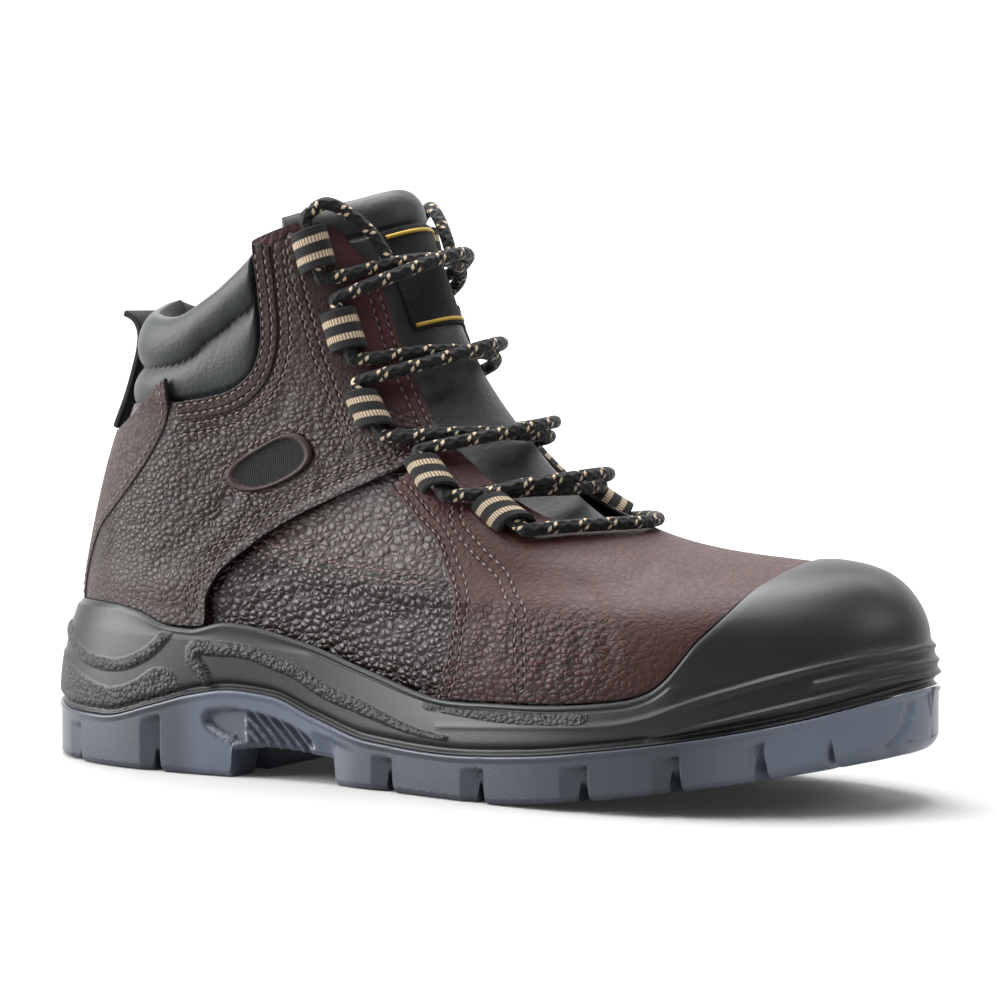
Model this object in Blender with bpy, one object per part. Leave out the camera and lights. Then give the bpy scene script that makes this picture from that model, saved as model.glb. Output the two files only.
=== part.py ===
"""Ankle-height lace-up safety boot for the right foot, about EU size 42.

The boot is worked out in millimetres: x runs from the back of the heel to the toe, the lateral side is
at -y, and the floor is z = 0. Every piece of the upper is cut from one form, the lasted shape of the boot,
which is lofted through rings that fan from the feather edge, where the upper meets the sole, to the top
line. A place on the form is given by its ring number t (0 is the feather edge, 10 the top line) and by a,
which runs round each ring: 0 at the heel, 1 at the toe or instep, 0 to 1 on the lateral side and 1 to 2
on the medial side. A piece's height above or below the form is its lift.
"""

from collections import namedtuple

import bmesh
import bpy
import numpy as np

MM = 0.001

# Driving dimensions, millimetres
LAST_LENGTH = 292.0
BALL_WIDTH = 104.0
TOP_HEIGHT = 189.0
FOOTPRINT_CENTRE = (152.46, -0.99)
CLEARANCE = 0.3
SHARP_ANGLE = np.radians(40)

# Leather and sole thicknesses, as lifts from the form
PANEL_LIFT = 0.5
PANEL_INNER_LIFT = -0.7
SHELL_LIFT = -1.6
SHELL_INNER_LIFT = -3.6
CUP_LIFT = -0.5
RIM_LIFT = 1.8
CUP_DEPTH = 0.6
INSOLE_INSET = 5.2
INSOLE_THICKNESS = 4.0

# Lasted rings, drawn for a last of 292 x 104 x 189. dip is how far the ring sags between heel and toe, and
# the half widths are taken at four stations along the ring
Ring = namedtuple(
    "Ring",
    "back_x back_z front_x front_z front_y dip"
    " lat_heel lat_waist lat_ball lat_toe med_heel med_waist med_ball med_toe",
)
RINGS = (
    Ring(9.5, 34, 296, 40.0, 4.0, 18, 32.0, 37.0, 50.0, 38.0, 32.0, 30.0, 46.0, 40.0),
    Ring(8.0, 44, 300, 51.0, 4.0, 14, 34.0, 40.0, 53.5, 40.0, 34.0, 34.0, 50.5, 42.0),
    Ring(7.5, 52, 296, 62.0, 4.0, 10, 33.5, 40.0, 52.0, 39.5, 33.5, 35.5, 49.5, 41.5),
    Ring(8.0, 59, 284, 69.5, 4.0, 9, 33.0, 39.5, 49.5, 36.5, 33.0, 36.0, 46.0, 36.5),
    Ring(9.5, 67, 258, 72.5, 4.0, 8, 31.5, 38.0, 47.0, 33.0, 31.5, 36.5, 42.0, 33.0),
    Ring(12.0, 77, 226, 76.0, 4.0, 5, 30.0, 36.0, 41.5, 35.0, 30.0, 35.5, 38.0, 33.5),
    Ring(16.0, 90, 198, 86.0, 3.9, 3, 29.0, 34.0, 37.0, 33.5, 29.0, 34.0, 35.5, 31.0),
    Ring(21.5, 106, 174, 105.0, 2.5, 2, 27.0, 33.0, 34.0, 27.5, 27.0, 33.0, 33.5, 26.0),
    Ring(28.0, 121, 154, 130.0, 1.4, 3, 25.0, 33.5, 33.5, 24.5, 25.0, 33.5, 33.5, 24.5),
    Ring(33.0, 137, 141, 158.0, 0.6, 5, 25.0, 34.5, 34.0, 24.0, 25.0, 34.5, 34.0, 24.0),
    Ring(37.0, 158, 129, 189.0, 0.0, 4, 26.0, 36.5, 36.0, 25.0, 26.0, 36.5, 36.0, 25.0),
)
DRAWN_LENGTH, DRAWN_WIDTH, DRAWN_HEIGHT = 292.0, 104.0, 189.0
STATIONS = (0.10, 0.38, 0.68, 0.89)
SAG_POWER = 2.0
STATION_TURNS = (0.0, 0.16, 0.40, 0.64, 0.82, 1.0)

# Lines on the form. w is the turn from heel (0) to front (1) and is the same on both sides
Line = namedtuple("Line", "w t")
RIM = (
    Line(0.000, 1.95), Line(0.130, 2.02), Line(0.175, 2.00), Line(0.205, 1.79), Line(0.245, 1.34),
    Line(0.267, 1.31), Line(0.312, 1.64), Line(0.384, 1.33), Line(0.458, 0.88), Line(0.535, 0.59),
    Line(0.600, 0.71), Line(0.658, 0.77), Line(0.715, 0.84), Line(0.735, 0.95), Line(0.787, 1.92),
    Line(0.871, 3.11), Line(0.951, 3.53), Line(1.000, 3.62),
)
# Edges of panels: s runs along the edge, and each row is a place on the form
Edge = namedtuple("Edge", "s t a")
SHELL_TOP = (
    Edge(0.00, 7.74, 0.000), Edge(0.30, 7.76, 0.300), Edge(0.42, 7.92, 0.430), Edge(0.50, 8.28, 0.510),
    Edge(0.56, 8.83, 0.553), Edge(0.61, 9.38, 0.568), Edge(0.66, 9.88, 0.582), Edge(0.74, 9.92, 0.680),
    Edge(0.82, 9.80, 0.777), Edge(0.867, 9.45, 0.824),
)
QUARTER_TOP = (
    Edge(0.00, 7.74, 0.306), Edge(0.36, 7.75, 0.316), Edge(0.46, 7.80, 0.360), Edge(0.56, 7.92, 0.430),
    Edge(0.66, 8.28, 0.510), Edge(0.73, 8.83, 0.553), Edge(0.79, 9.38, 0.568), Edge(0.84, 9.88, 0.582),
    Edge(0.91, 9.92, 0.690), Edge(0.96, 9.76, 0.787), Edge(1.00, 9.45, 0.824),
)
QUARTER_LOW = (
    Edge(0.00, 2.12, 0.095), Edge(0.13, 2.12, 0.160), Edge(0.22, 1.92, 0.205), Edge(0.30, 1.48, 0.245),
    Edge(0.36, 1.54, 0.284), Edge(0.40, 2.45, 0.291), Edge(0.45, 3.70, 0.321), Edge(0.51, 4.60, 0.371),
    Edge(0.59, 5.36, 0.436), Edge(0.68, 5.86, 0.500), Edge(0.76, 6.22, 0.569), Edge(0.84, 6.58, 0.664),
    Edge(0.91, 6.83, 0.745), Edge(1.00, 7.27, 0.834),
)
VAMP_TOP = (
    Edge(0.00, 6.50, 0.690), Edge(0.30, 7.10, 0.836), Edge(0.50, 6.55, 0.866), Edge(0.75, 5.88, 0.897),
    Edge(1.00, 5.64, 1.000),
)
# Side edges of panels: the turn of the edge at each ring it crosses
Side = namedtuple("Side", "t a")
VAMP_REAR = (
    Side(0.70, 0.530), Side(1.46, 0.545), Side(2.62, 0.563), Side(4.63, 0.652), Side(5.68, 0.705),
    Side(6.24, 0.704), Side(6.50, 0.690),
)
BACKSTAY_SIDE = (
    Side(2.10, 0.078), Side(4.15, 0.104), Side(4.97, 0.131), Side(5.64, 0.177), Side(6.35, 0.228),
    Side(6.84, 0.260), Side(7.31, 0.285), Side(7.72, 0.294),
)
QUARTER_BACKSTAY_GAP = 0.012
SIDE_FADE = 0.36
VAMP_BACK_TURN = 0.53
VAMP_RIM_GAP = 0.12
VAMP_GRID = (16, 11)
QUARTER_GRID = (19, 7)
BACKSTAY_GRID = (6, 11)
PAD_LOW = (
    Edge(0.00, 7.80, 0.000), Edge(0.50, 7.82, 0.290), Edge(0.70, 7.98, 0.420), Edge(0.80, 8.20, 0.480),
    Edge(0.88, 8.60, 0.522), Edge(0.94, 9.03, 0.545), Edge(1.00, 9.46, 0.558),
)
PAD_TOP = (
    Edge(0.00, 9.72, 0.000), Edge(0.25, 9.40, 0.145), Edge(0.50, 9.20, 0.290), Edge(0.70, 9.40, 0.410),
    Edge(0.85, 9.60, 0.495), Edge(1.00, 9.77, 0.566),
)
# Top edge of the backstay, from the heel seam to its tip
Rise = namedtuple("Rise", "s t")
BACKSTAY_FOOT = 2.10
BACKSTAY_TOP = (Rise(0.0, 7.05), Rise(0.4, 7.15), Rise(0.66, 7.42), Rise(0.85, 7.64), Rise(1.0, 7.72))
BACKSTAY_LIFT = 1.0
THROAT_BASE = 5.70

# Collar padding: lifts of its edge, its two rolls and its lining
COLLAR_GRID = (11, 9)
COLLAR_SEAM = 0.4
ROLL_POWER = 0.65
COLLAR_EDGE_LIFT = -2.2
LOW_ROLL = 2.6
HIGH_ROLL = 3.4
COLLAR_LINING_LIFT = -5.6
COLLAR_PADDING = 3.6

# Tongue: rings it spans, half widths in turns, and how its face swells where the throat shows it
TONGUE_ROWS = 11
TONGUE_COLUMNS = 9
TONGUE_BASE = 5.15
TONGUE_TOP = 9.95
TONGUE_DROP = -0.12
TONGUE_HALF_LOW = 0.165
TONGUE_HALF_TOP = 0.34
TONGUE_SHOWN = 0.39
TONGUE_TUCK = -4.6
TONGUE_SWELL = 3.4
SWELL_POWER = 1.5
SWELL_START = 5.9
SWELL_RAMP = 1.2
Padding = namedtuple("Padding", "v thickness")
TONGUE_PADDING = (
    Padding(0.00, 3.0), Padding(0.30, 3.0), Padding(0.70, 6.5), Padding(0.84, 6.5), Padding(0.92, 8.0),
    Padding(1.00, 6.0),
)
LABEL_SPAN = (0.70, 0.92)
LABEL_HALF = 0.32
LABEL_THICKNESS = 0.7

# Sole: how far the sole stands out past the upper, by turn
Welt = namedtuple("Welt", "w lateral medial")
WELT = (
    Welt(0.00, 9.8, 9.8), Welt(0.16, 5.6, 5.6), Welt(0.40, 2.5, 2.0), Welt(0.64, 2.5, 2.5),
    Welt(0.82, 4.4, 4.4), Welt(1.00, 7.0, 7.0),
)
# Joint between midsole and outsole, and the underside of the outsole between its lugs
Joint = namedtuple("Joint", "x joint plate")
JOINTS = (
    Joint(-5, 19.0, 7.0), Joint(20, 16.6, 6.0), Joint(36, 16.6, 6.0), Joint(58, 21.5, 6.0),
    Joint(73, 25.6, 6.5), Joint(88, 27.8, 8.5), Joint(103, 26.6, 10.0), Joint(119, 21.0, 9.0),
    Joint(141, 15.2, 6.0), Joint(170, 13.8, 5.0), Joint(200, 15.6, 5.5), Joint(227, 18.9, 9.0),
    Joint(257, 23.6, 14.0), Joint(282, 28.9, 18.5), Joint(310, 37.5, 24.0),
)
TOE_SPRING_START = 190.0
TOE_SPRING = 17.5
TOE_SPRING_END = 306.0
TOE_SPRING_POWER = 1.25
NOTCHES = (19.0, 57.0, 151.0, 188.0, 224.0, 251.0, 272.0, 289.0, 300.0)
NOTCH_WIDTH = 4.6
HEEL_BREAST = 90.0
TREAD_START = 128.0
BETWEEN_NOTCHES = (2.0, 8.0, 38.0, 74.0, 99.0, 108.5, 118.0, 139.0, 164.0, 176.0, 206.0, 238.0, 262.0, 304.0)
LUG_REACH = 15.0
GROOVE = 5.0

# Moulded relief of the midsole's side
Ridges = namedtuple("Ridges", "start ramp depth pitch phase lowest")
TOE_RIDGES = Ridges(215.0, 50.0, 0.7, 0.36, 0.33, 0.8)
Rib = namedtuple("Rib", "start end start_z end_z depth width fade")
RIBS = (Rib(70.0, 178.0, 40.0, 17.0, 1.6, 4.2, 12.0), Rib(-10.0, 70.0, 25.0, 25.0, 1.2, 4.0, 18.0))
RIB_BOW = 0.85

# Midsole side: how much of the welt the shoulder under the rim takes up, and the rows down to the joint
SHOULDER_SHARE = 0.55
SHOULDER_DROP = 0.8
SHOULDER_LIFT = 0.6
SHOULDER_ROWS = 4
SIDE_ROWS = 8

# Side badge: its middle and the tip of its long axis on the form, and its half width
Place = namedtuple("Place", "t a")
BADGE_MIDDLE = Place(6.75, 0.490)
BADGE_TIP = Place(7.17, 0.582)
BADGE_HALF_WIDTH = 6.4
BADGE_THICKNESS = 1.1
BADGE_GAP = 0.6

# Pull loop at the back: the middle of the strap, from its sewn end to its free tip
Strap = namedtuple("Strap", "x z")
PULL_ROUTE = (
    Strap(20.0, 108.5), Strap(21.5, 112.0), Strap(23.8, 117.0), Strap(26.1, 123.0), Strap(28.4, 130.0),
    Strap(30.0, 136.5), Strap(29.8, 141.5), Strap(27.4, 145.0), Strap(23.8, 146.6),
)
PULL_WIDTH = 18.0
PULL_THICKNESS = 2.2

# Webbing lace loops, from the lowest pair up. The section is an arch: across is towards the throat
Loop = namedtuple("Loop", "t w")
LOOPS = (Loop(5.93, 0.831), Loop(6.63, 0.779), Loop(7.59, 0.737), Loop(8.66, 0.748), Loop(9.60, 0.732))
LOOP_WIDTH = 13.0
Arch = namedtuple("Arch", "across height")
LOOP_SECTION = (
    Arch(5.2, 0.4), Arch(5.1, 3.7), Arch(3.7, 6.4), Arch(0.0, 7.6), Arch(-3.3, 6.2), Arch(-5.7, 2.4),
    Arch(-6.5, 0.4), Arch(-4.9, 0.4), Arch(-4.5, 1.7), Arch(-2.5, 4.9), Arch(0.0, 6.2), Arch(2.8, 5.1),
    Arch(3.8, 3.2), Arch(3.9, 0.4),
)

# The lace: a round cord that criss-crosses, with its ends turned over the top loops. A crossing rises from
# the loops' level, and one strand passes over the other
LACE_RADIUS = 2.1
LACE_LIFT = 2.9
LOOP_MOUTH = 3.0
LACE_STEP = 12.0
LACE_SIDES = 5
Crossing = namedtuple("Crossing", "a under over")
CROSSING = (Crossing(0.88, 3.6, 6.6), Crossing(1.00, 2.5, 8.0), Crossing(1.12, 3.6, 6.6))
Route = namedtuple("Route", "t a lift")
LACE_END = (
    Route(9.22, 0.872, 2.8), Route(9.45, 0.862, 3.2), Route(9.75, 0.830, 3.8), Route(9.98, 0.775, 4.2),
)
BOTTOM_BAR = (Route(5.56, 0.880, 3.6), Route(5.47, 1.000, 3.4), Route(5.56, 1.120, 3.6))

CUP_ROWS = (0.0, 0.25, 0.5, 0.75, 1.0)
UPPER_COLUMNS = 60
BAND_ROWS = 5
SIDE_WALL_ROWS = 6
THROAT_COLUMN = 26


def cubic(knots, values, at):
    """Natural cubic spline through values at knots, read at every number in at."""
    knots = np.asarray(knots, float)
    values = np.asarray(values, float)
    step = np.diff(knots)
    system = np.eye(len(knots))
    right = np.zeros_like(values)
    slope = np.diff(values, axis=0) / step[:, None]
    for i in range(1, len(knots) - 1):
        system[i, i - 1 : i + 2] = step[i - 1], 2 * (step[i - 1] + step[i]), step[i]
        right[i] = 6 * (slope[i] - slope[i - 1])
    bend = np.linalg.solve(system, right)
    at = np.asarray(at, float)
    i = np.clip(np.searchsorted(knots, at, side="right") - 1, 0, len(knots) - 2)
    far = ((at - knots[i]) / step[i])[..., None]
    near = 1 - far
    curve = ((near**3 - near) * bend[i] + (far**3 - far) * bend[i + 1]) * (step[i] ** 2)[..., None] / 6
    return near * values[i] + far * values[i + 1] + curve


def follow(table, at):
    """Smooth curve through a table's rows, the first column its parameter, that never swings past a row."""
    rows = np.array(table, float)
    knots, values = rows[:, 0], rows[:, 1:]
    step = np.diff(knots)
    slope = np.diff(values, axis=0) / step[:, None]
    product = slope[:-1] * slope[1:]
    total = slope[:-1] + slope[1:]
    level = np.where(product > 0, 2 * product / np.where(total == 0, 1, total), 0)
    tangent = np.concatenate([slope[:1], level, slope[-1:]])
    at = np.asarray(at, float)
    i = np.clip(np.searchsorted(knots, at, side="right") - 1, 0, len(knots) - 2)
    s = np.clip((at - knots[i]) / step[i], 0, 1)[..., None]
    width = step[i][..., None]
    return (
        (1 + 2 * s) * (1 - s) ** 2 * values[i]
        + s**2 * (3 - 2 * s) * values[i + 1]
        + width * s * (1 - s) * ((1 - s) * tangent[i] - s * tangent[i + 1])
    )


def ring_net():
    """Control points of the form, one row of ten for each ring, scaled to the driving dimensions."""
    net = []
    for ring in RINGS:
        lateral = (ring.lat_heel, ring.lat_waist, ring.lat_ball, ring.lat_toe)
        medial = (ring.med_heel, ring.med_waist, ring.med_ball, ring.med_toe)
        places = [(0.0, 0.0)]
        places += [(s, -y) for s, y in zip(STATIONS, lateral)]
        places += [(1.0, ring.front_y)]
        places += [(s, y) for s, y in zip(STATIONS[::-1], medial[::-1])]
        row = []
        for s, y in places:
            sag = ring.dip * np.sin(np.pi * s**SAG_POWER)
            row.append(
                (
                    ring.back_x + (ring.front_x - ring.back_x) * s,
                    y,
                    ring.back_z + (ring.front_z - ring.back_z) * s - sag,
                )
            )
        net.append(row)
    scale = (LAST_LENGTH / DRAWN_LENGTH, BALL_WIDTH / DRAWN_WIDTH, TOP_HEIGHT / DRAWN_HEIGHT)
    return np.array(net) * scale


NET = ring_net()
RING_NUMBERS = np.arange(len(RINGS))
ROUND = np.array(STATION_TURNS + tuple(2 - w for w in STATION_TURNS[-2:0:-1]))
ROUND_TILED = np.concatenate([ROUND - 2, ROUND, ROUND + 2])


def form(t, a):
    """Points of the lasted form at ring t and turn a."""
    t, a = np.broadcast_arrays(np.asarray(t, float), np.mod(np.asarray(a, float), 2))
    across = cubic(RING_NUMBERS, np.eye(len(RINGS)), t)
    around = cubic(ROUND_TILED, np.tile(np.eye(len(ROUND)), (3, 1)), a)
    return np.einsum("...j,...k,jkc->...c", across, around, NET)


def normal(t, a, step=1e-3):
    """Outward unit normal of the form."""
    t, a = np.asarray(t, float), np.asarray(a, float)
    along = form(t, a + step) - form(t, a - step)
    up = form(t + step, a) - form(t - step, a)
    outward = np.cross(along, up)
    return outward / np.linalg.norm(outward, axis=-1, keepdims=True)


def lifted(t, a, lift):
    """Points of the form moved out along its normal by lift millimetres."""
    return form(t, a) + np.asarray(lift)[..., None] * normal(t, a)


def folded(a):
    """Turn from the heel, 0 to 1, whichever side a is on."""
    a = np.mod(a, 2)
    return np.where(a > 1, 2 - a, a)


def rim(a):
    """Ring number of the sole's upper rim, which climbs over the toe as the scuff cap."""
    return follow(RIM, folded(a))[..., 0]


def plan_normal(a, step=1e-3):
    """Outward direction in plan of the form's widest ring."""
    along = (form(1.0, a + step) - form(1.0, a - step))[..., :2]
    outward = np.stack([along[..., 1], -along[..., 0]], -1)
    return outward / np.linalg.norm(outward, axis=-1, keepdims=True)


def welt(a):
    """Millimetres that the sole stands out past the upper."""
    lateral = [(row.w, row.lateral) for row in WELT]
    medial = [(2 - row.w, row.medial) for row in WELT[-2::-1]]
    table = np.array(lateral + medial)
    tiled = np.concatenate([table[:-1] - (2, 0), table, table[1:] + (2, 0)])
    return cubic(tiled[:, 0], tiled[:, 1:], np.mod(a, 2))[..., 0]


def outline(a, inset=0.0):
    """Plan outline of the sole, or a line inset from it."""
    return form(1.0, a)[..., :2] + (welt(a) - inset)[..., None] * plan_normal(a)


def joint_height(x):
    return follow(JOINTS, x)[..., 0]


def plate_height(x):
    return follow(JOINTS, x)[..., 1]


def tread_height(x):
    """Underside of the lugs: on the floor from heel to ball, then up with the toe spring."""
    ahead = np.clip(x - TOE_SPRING_START, 0, None) / (TOE_SPRING_END - TOE_SPRING_START)
    return TOE_SPRING * ahead**TOE_SPRING_POWER


def material(name, colour, roughness, coat=0.0):
    made = bpy.data.materials.new(name)
    made.use_nodes = True
    shader = made.node_tree.nodes["Principled BSDF"]
    shader.inputs["Base Color"].default_value = (*colour, 1)
    shader.inputs["Roughness"].default_value = roughness
    shader.inputs["Coat Weight"].default_value = coat
    return made


def add_object(name, mesh, finish):
    """Links a mesh as a smooth-shaded object with its material."""
    mesh.materials.append(finish)
    mesh.shade_smooth()
    mesh.set_sharp_from_angle(angle=SHARP_ANGLE)
    made = bpy.data.objects.new(name, mesh)
    bpy.context.scene.collection.objects.link(made)
    return made


def placed(points):
    """Boot millimetres to metres about the middle of the footprint."""
    return (np.asarray(points, float).reshape(-1, 3) - (*FOOTPRINT_CENTRE, 0)) * MM


def solid(name, points, faces, finish):
    mesh = bpy.data.meshes.new(name)
    mesh.from_pydata(placed(points).tolist(), [], [list(map(int, face)) for face in faces])
    mesh.validate()
    return add_object(name, mesh, finish)


def thick_sheet(name, outer, inner, finish, wrap=False, keep=None):
    """Closed wall between two like grids of points. keep marks the cells that are there."""
    rows, columns = outer.shape[:2]
    cells = columns if wrap else columns - 1
    if keep is None:
        keep = np.ones((rows - 1, cells), bool)
    index = np.arange(rows * columns).reshape(rows, columns)
    r, c = np.nonzero(keep)
    d = (c + 1) % columns
    front = np.stack([index[r, c], index[r, d], index[r + 1, d], index[r + 1, c]], -1)
    back = front[:, ::-1] + rows * columns
    edges = {(int(f[k]), int(f[(k + 1) % 4])) for f in front for k in range(4)}
    shift = rows * columns
    sides = [(j, i, i + shift, j + shift) for i, j in sorted(edges) if (j, i) not in edges]
    used = np.unique(np.concatenate([front.ravel(), back.ravel()]))
    order = np.full(2 * shift, -1)
    order[used] = np.arange(len(used))
    points = np.concatenate([outer.reshape(-1, 3), inner.reshape(-1, 3)])[used]
    faces = [order[list(face)] for face in [*front, *back, *sides]]
    return solid(name, points, faces, finish)


def ladder(ring):
    """Faces across a ring of points that starts at the heel and comes back to it."""
    count = len(ring)
    half = count // 2
    faces = [(ring[0], ring[1], ring[-1])]
    faces += [(ring[j], ring[j + 1], ring[count - j - 1], ring[count - j]) for j in range(1, half - 1)]
    faces.append((ring[half - 1], ring[half], ring[half + 1]))
    return faces


def ring_faces(index):
    """Faces between neighbouring rings of points."""
    nearer = np.roll(index, -1, axis=1)
    rows, columns = index.shape
    return [
        (index[r, c], nearer[r, c], nearer[r + 1, c], index[r + 1, c])
        for r in range(rows - 1)
        for c in range(columns)
    ]


def panel_grid(low, top, columns, rows):
    """Rings and turns of a panel ruled between its lower and upper edges."""
    s = np.linspace(0, 1, columns)
    v = np.linspace(0, 1, rows)[:, None, None]
    grid = (1 - v) * follow(low, s) + v * follow(top, s)
    return grid[..., 0], grid[..., 1]


def along_side(grid, side, gap=0.0):
    """Moves a panel's first column onto a drawn side edge, with the shift dying away across the panel."""
    t, a = grid
    shift = follow(side, t[:, 0])[:, 0] + gap - a[:, 0]
    fade = np.clip(1 - np.linspace(0, 1, t.shape[1]) / SIDE_FADE, 0, 1) ** 2
    return t, a + shift[:, None] * fade


def backstay_grid(columns, rows):
    """Rings and turns of half the backstay, from the heel seam out to its side edge."""
    s = np.linspace(0, 1, columns)
    v = np.linspace(0, 1, rows)[:, None]
    t = (1 - v) * BACKSTAY_FOOT + v * follow(BACKSTAY_TOP, s)[:, 0]
    return t, s * follow(BACKSTAY_SIDE, t)[..., 0]


def mirrored(grid):
    """The same panel on the other side, with its columns turned round so that it still faces out."""
    t, a = grid
    return t[:, ::-1], 2 - a[:, ::-1]


def both_sides(grid):
    """A panel that starts at the middle line and runs down both sides."""
    t, a = grid
    return np.concatenate([t[:, :0:-1], t], 1), np.concatenate([-a[:, :0:-1], a], 1)


def build_upper(finish):
    """Hollow shell: full rings up to the throat, then the two sides up to the top line."""
    turns = np.arange(UPPER_COLUMNS) * 2 / UPPER_COLUMNS
    w = folded(turns)
    low_part = np.array(CUP_ROWS)[:, None] * rim(turns)
    high = np.linspace(0, 1, BAND_ROWS)[1:, None]
    high_part = (1 - high) * rim(turns) + high * THROAT_BASE
    band_t = np.concatenate([low_part, high_part])
    band_a = np.broadcast_to(turns, band_t.shape)
    top = follow(SHELL_TOP, w)
    v = np.linspace(0, 1, SIDE_WALL_ROWS)[1:, None]
    side_t = (1 - v) * THROAT_BASE + v * top[:, 0]
    side_w = (1 - v) * w + v * top[:, 1]
    side_a = np.where(turns > 1, 2 - side_w, side_w)
    t = np.concatenate([band_t, side_t])
    a = np.concatenate([band_a, side_a])
    keep = np.ones((len(t) - 1, UPPER_COLUMNS), bool)
    keep[len(band_t) - 1 :, THROAT_COLUMN : UPPER_COLUMNS - THROAT_COLUMN] = False
    thick_sheet("upper", lifted(t, a, SHELL_LIFT), lifted(t, a, SHELL_INNER_LIFT), finish, True, keep)


def build_panel(name, grid, finish, lift=PANEL_LIFT):
    t, a = grid
    thick_sheet(name, lifted(t, a, lift), lifted(t, a, PANEL_INNER_LIFT), finish)


def build_panels(leather, suede):
    """Leather laid over the shell: the vamp, the two rear quarters and the backstay."""
    s = np.linspace(0, 1, VAMP_GRID[0])
    low_a = VAMP_BACK_TURN + (1 - VAMP_BACK_TURN) * s
    low = np.stack([s, rim(low_a) + VAMP_RIM_GAP, low_a], -1)
    t, a = along_side(panel_grid(low, VAMP_TOP, *VAMP_GRID), VAMP_REAR)
    whole = np.concatenate([t, t[:, -2::-1]], 1), np.concatenate([a, 2 - a[:, -2::-1]], 1)
    build_panel("vamp", whole, leather)
    quarter = panel_grid(QUARTER_LOW, QUARTER_TOP, *QUARTER_GRID)
    quarter = along_side(quarter, BACKSTAY_SIDE, QUARTER_BACKSTAY_GAP)
    build_panel("quarter_lateral", quarter, leather)
    build_panel("quarter_medial", mirrored(quarter), leather)
    stay = both_sides(backstay_grid(*BACKSTAY_GRID))
    build_panel("backstay", stay, suede, BACKSTAY_LIFT)


def build_collar(finish):
    """Padded collar above the leather: a low roll, a sewn line and a high roll, round over the top."""
    t, a = both_sides(panel_grid(PAD_LOW, PAD_TOP, *COLLAR_GRID))
    v = np.broadcast_to(np.linspace(0, 1, len(t))[:, None], t.shape)
    low_roll = np.sin(np.pi * np.clip(v / COLLAR_SEAM, 0, 1)) ** ROLL_POWER
    high_roll = np.sin(np.pi * np.clip((v - COLLAR_SEAM) / (1 - COLLAR_SEAM), 0, 1)) ** ROLL_POWER
    outer = COLLAR_EDGE_LIFT + LOW_ROLL * low_roll + HIGH_ROLL * high_roll
    inner = COLLAR_LINING_LIFT - COLLAR_PADDING * np.sin(np.pi * v) ** ROLL_POWER
    thick_sheet("collar_pad", lifted(t, a, outer), lifted(t, a, inner), finish)


def tongue_lift(t, c):
    """Lift of the tongue's face: tucked under the eyestays at its sides, swelling through the throat."""
    swell = np.clip(1 - (c / TONGUE_SHOWN) ** 2, 0, 1) ** SWELL_POWER
    out_of_throat = np.clip((t - SWELL_START) / SWELL_RAMP, 0, 1)
    return TONGUE_TUCK + TONGUE_SWELL * swell * out_of_throat


def tongue_place(v, c):
    """Ring and turn of the tongue at height v (0 to 1) and across c (-1 to 1)."""
    top = TONGUE_TOP - TONGUE_DROP * c**2
    t = TONGUE_BASE + (top - TONGUE_BASE) * v
    half = TONGUE_HALF_LOW + (TONGUE_HALF_TOP - TONGUE_HALF_LOW) * np.clip(2 * v, 0, 1)
    return t, 1 + half * c


def build_tongue(finish, label_finish):
    """Padded tongue with a thicker roll along its top, and the plain label sewn on its face."""
    v = np.linspace(0, 1, TONGUE_ROWS)[:, None]
    c = np.linspace(-1, 1, TONGUE_COLUMNS)[None, :]
    t, a = tongue_place(v, c)
    outer = tongue_lift(t, c)
    padding = follow(TONGUE_PADDING, v)[..., 0] * (1 - 0.5 * c**2)
    thick_sheet("tongue", lifted(t, a, outer), lifted(t, a, outer - padding), finish)
    v = np.linspace(*LABEL_SPAN, 5)[:, None]
    c = np.linspace(-LABEL_HALF, LABEL_HALF, 7)[None, :]
    t, a = tongue_place(v, c)
    base = tongue_lift(t, c) + CLEARANCE
    thick_sheet("tongue_label", lifted(t, a, base + LABEL_THICKNESS), lifted(t, a, base), label_finish)


def build_insole(finish):
    """Footbed on the floor of the cup, just inside the shell."""
    turns = np.arange(UPPER_COLUMNS) * 2 / UPPER_COLUMNS
    feather = form(0.0, turns)[:, 2]
    plan = form(0.0, turns)[:, :2] - INSOLE_INSET * plan_normal(turns)
    low = np.column_stack([plan, feather - CUP_DEPTH + CLEARANCE])
    high = low + (0, 0, INSOLE_THICKNESS)
    count = len(turns)
    ring = np.arange(count)
    side = [(j, (j + 1) % count, (j + 1) % count + count, j + count) for j in range(count)]
    faces = [face[::-1] for face in ladder(ring)] + side + ladder(ring + count)
    solid("insole", np.concatenate([low, high]), faces, finish)


def sole_columns():
    """Turns round the sole, with a pair at each notch, and the x of each column."""
    cuts = [x + side * NOTCH_WIDTH / 2 for x in NOTCHES for side in (-1, 1)]
    stations = np.array(sorted([*cuts, *BETWEEN_NOTCHES, HEEL_BREAST, TREAD_START]))
    fine = np.linspace(0, 1, 2001)
    lateral = np.interp(stations, outline(fine)[:, 0], fine)
    medial = 2 - np.interp(stations, outline(2 - fine)[:, 0], fine)
    turns = np.concatenate([[0], lateral, [1], medial[::-1]])
    return turns, np.concatenate([[-np.inf], stations, [np.inf], stations[::-1]])


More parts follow.
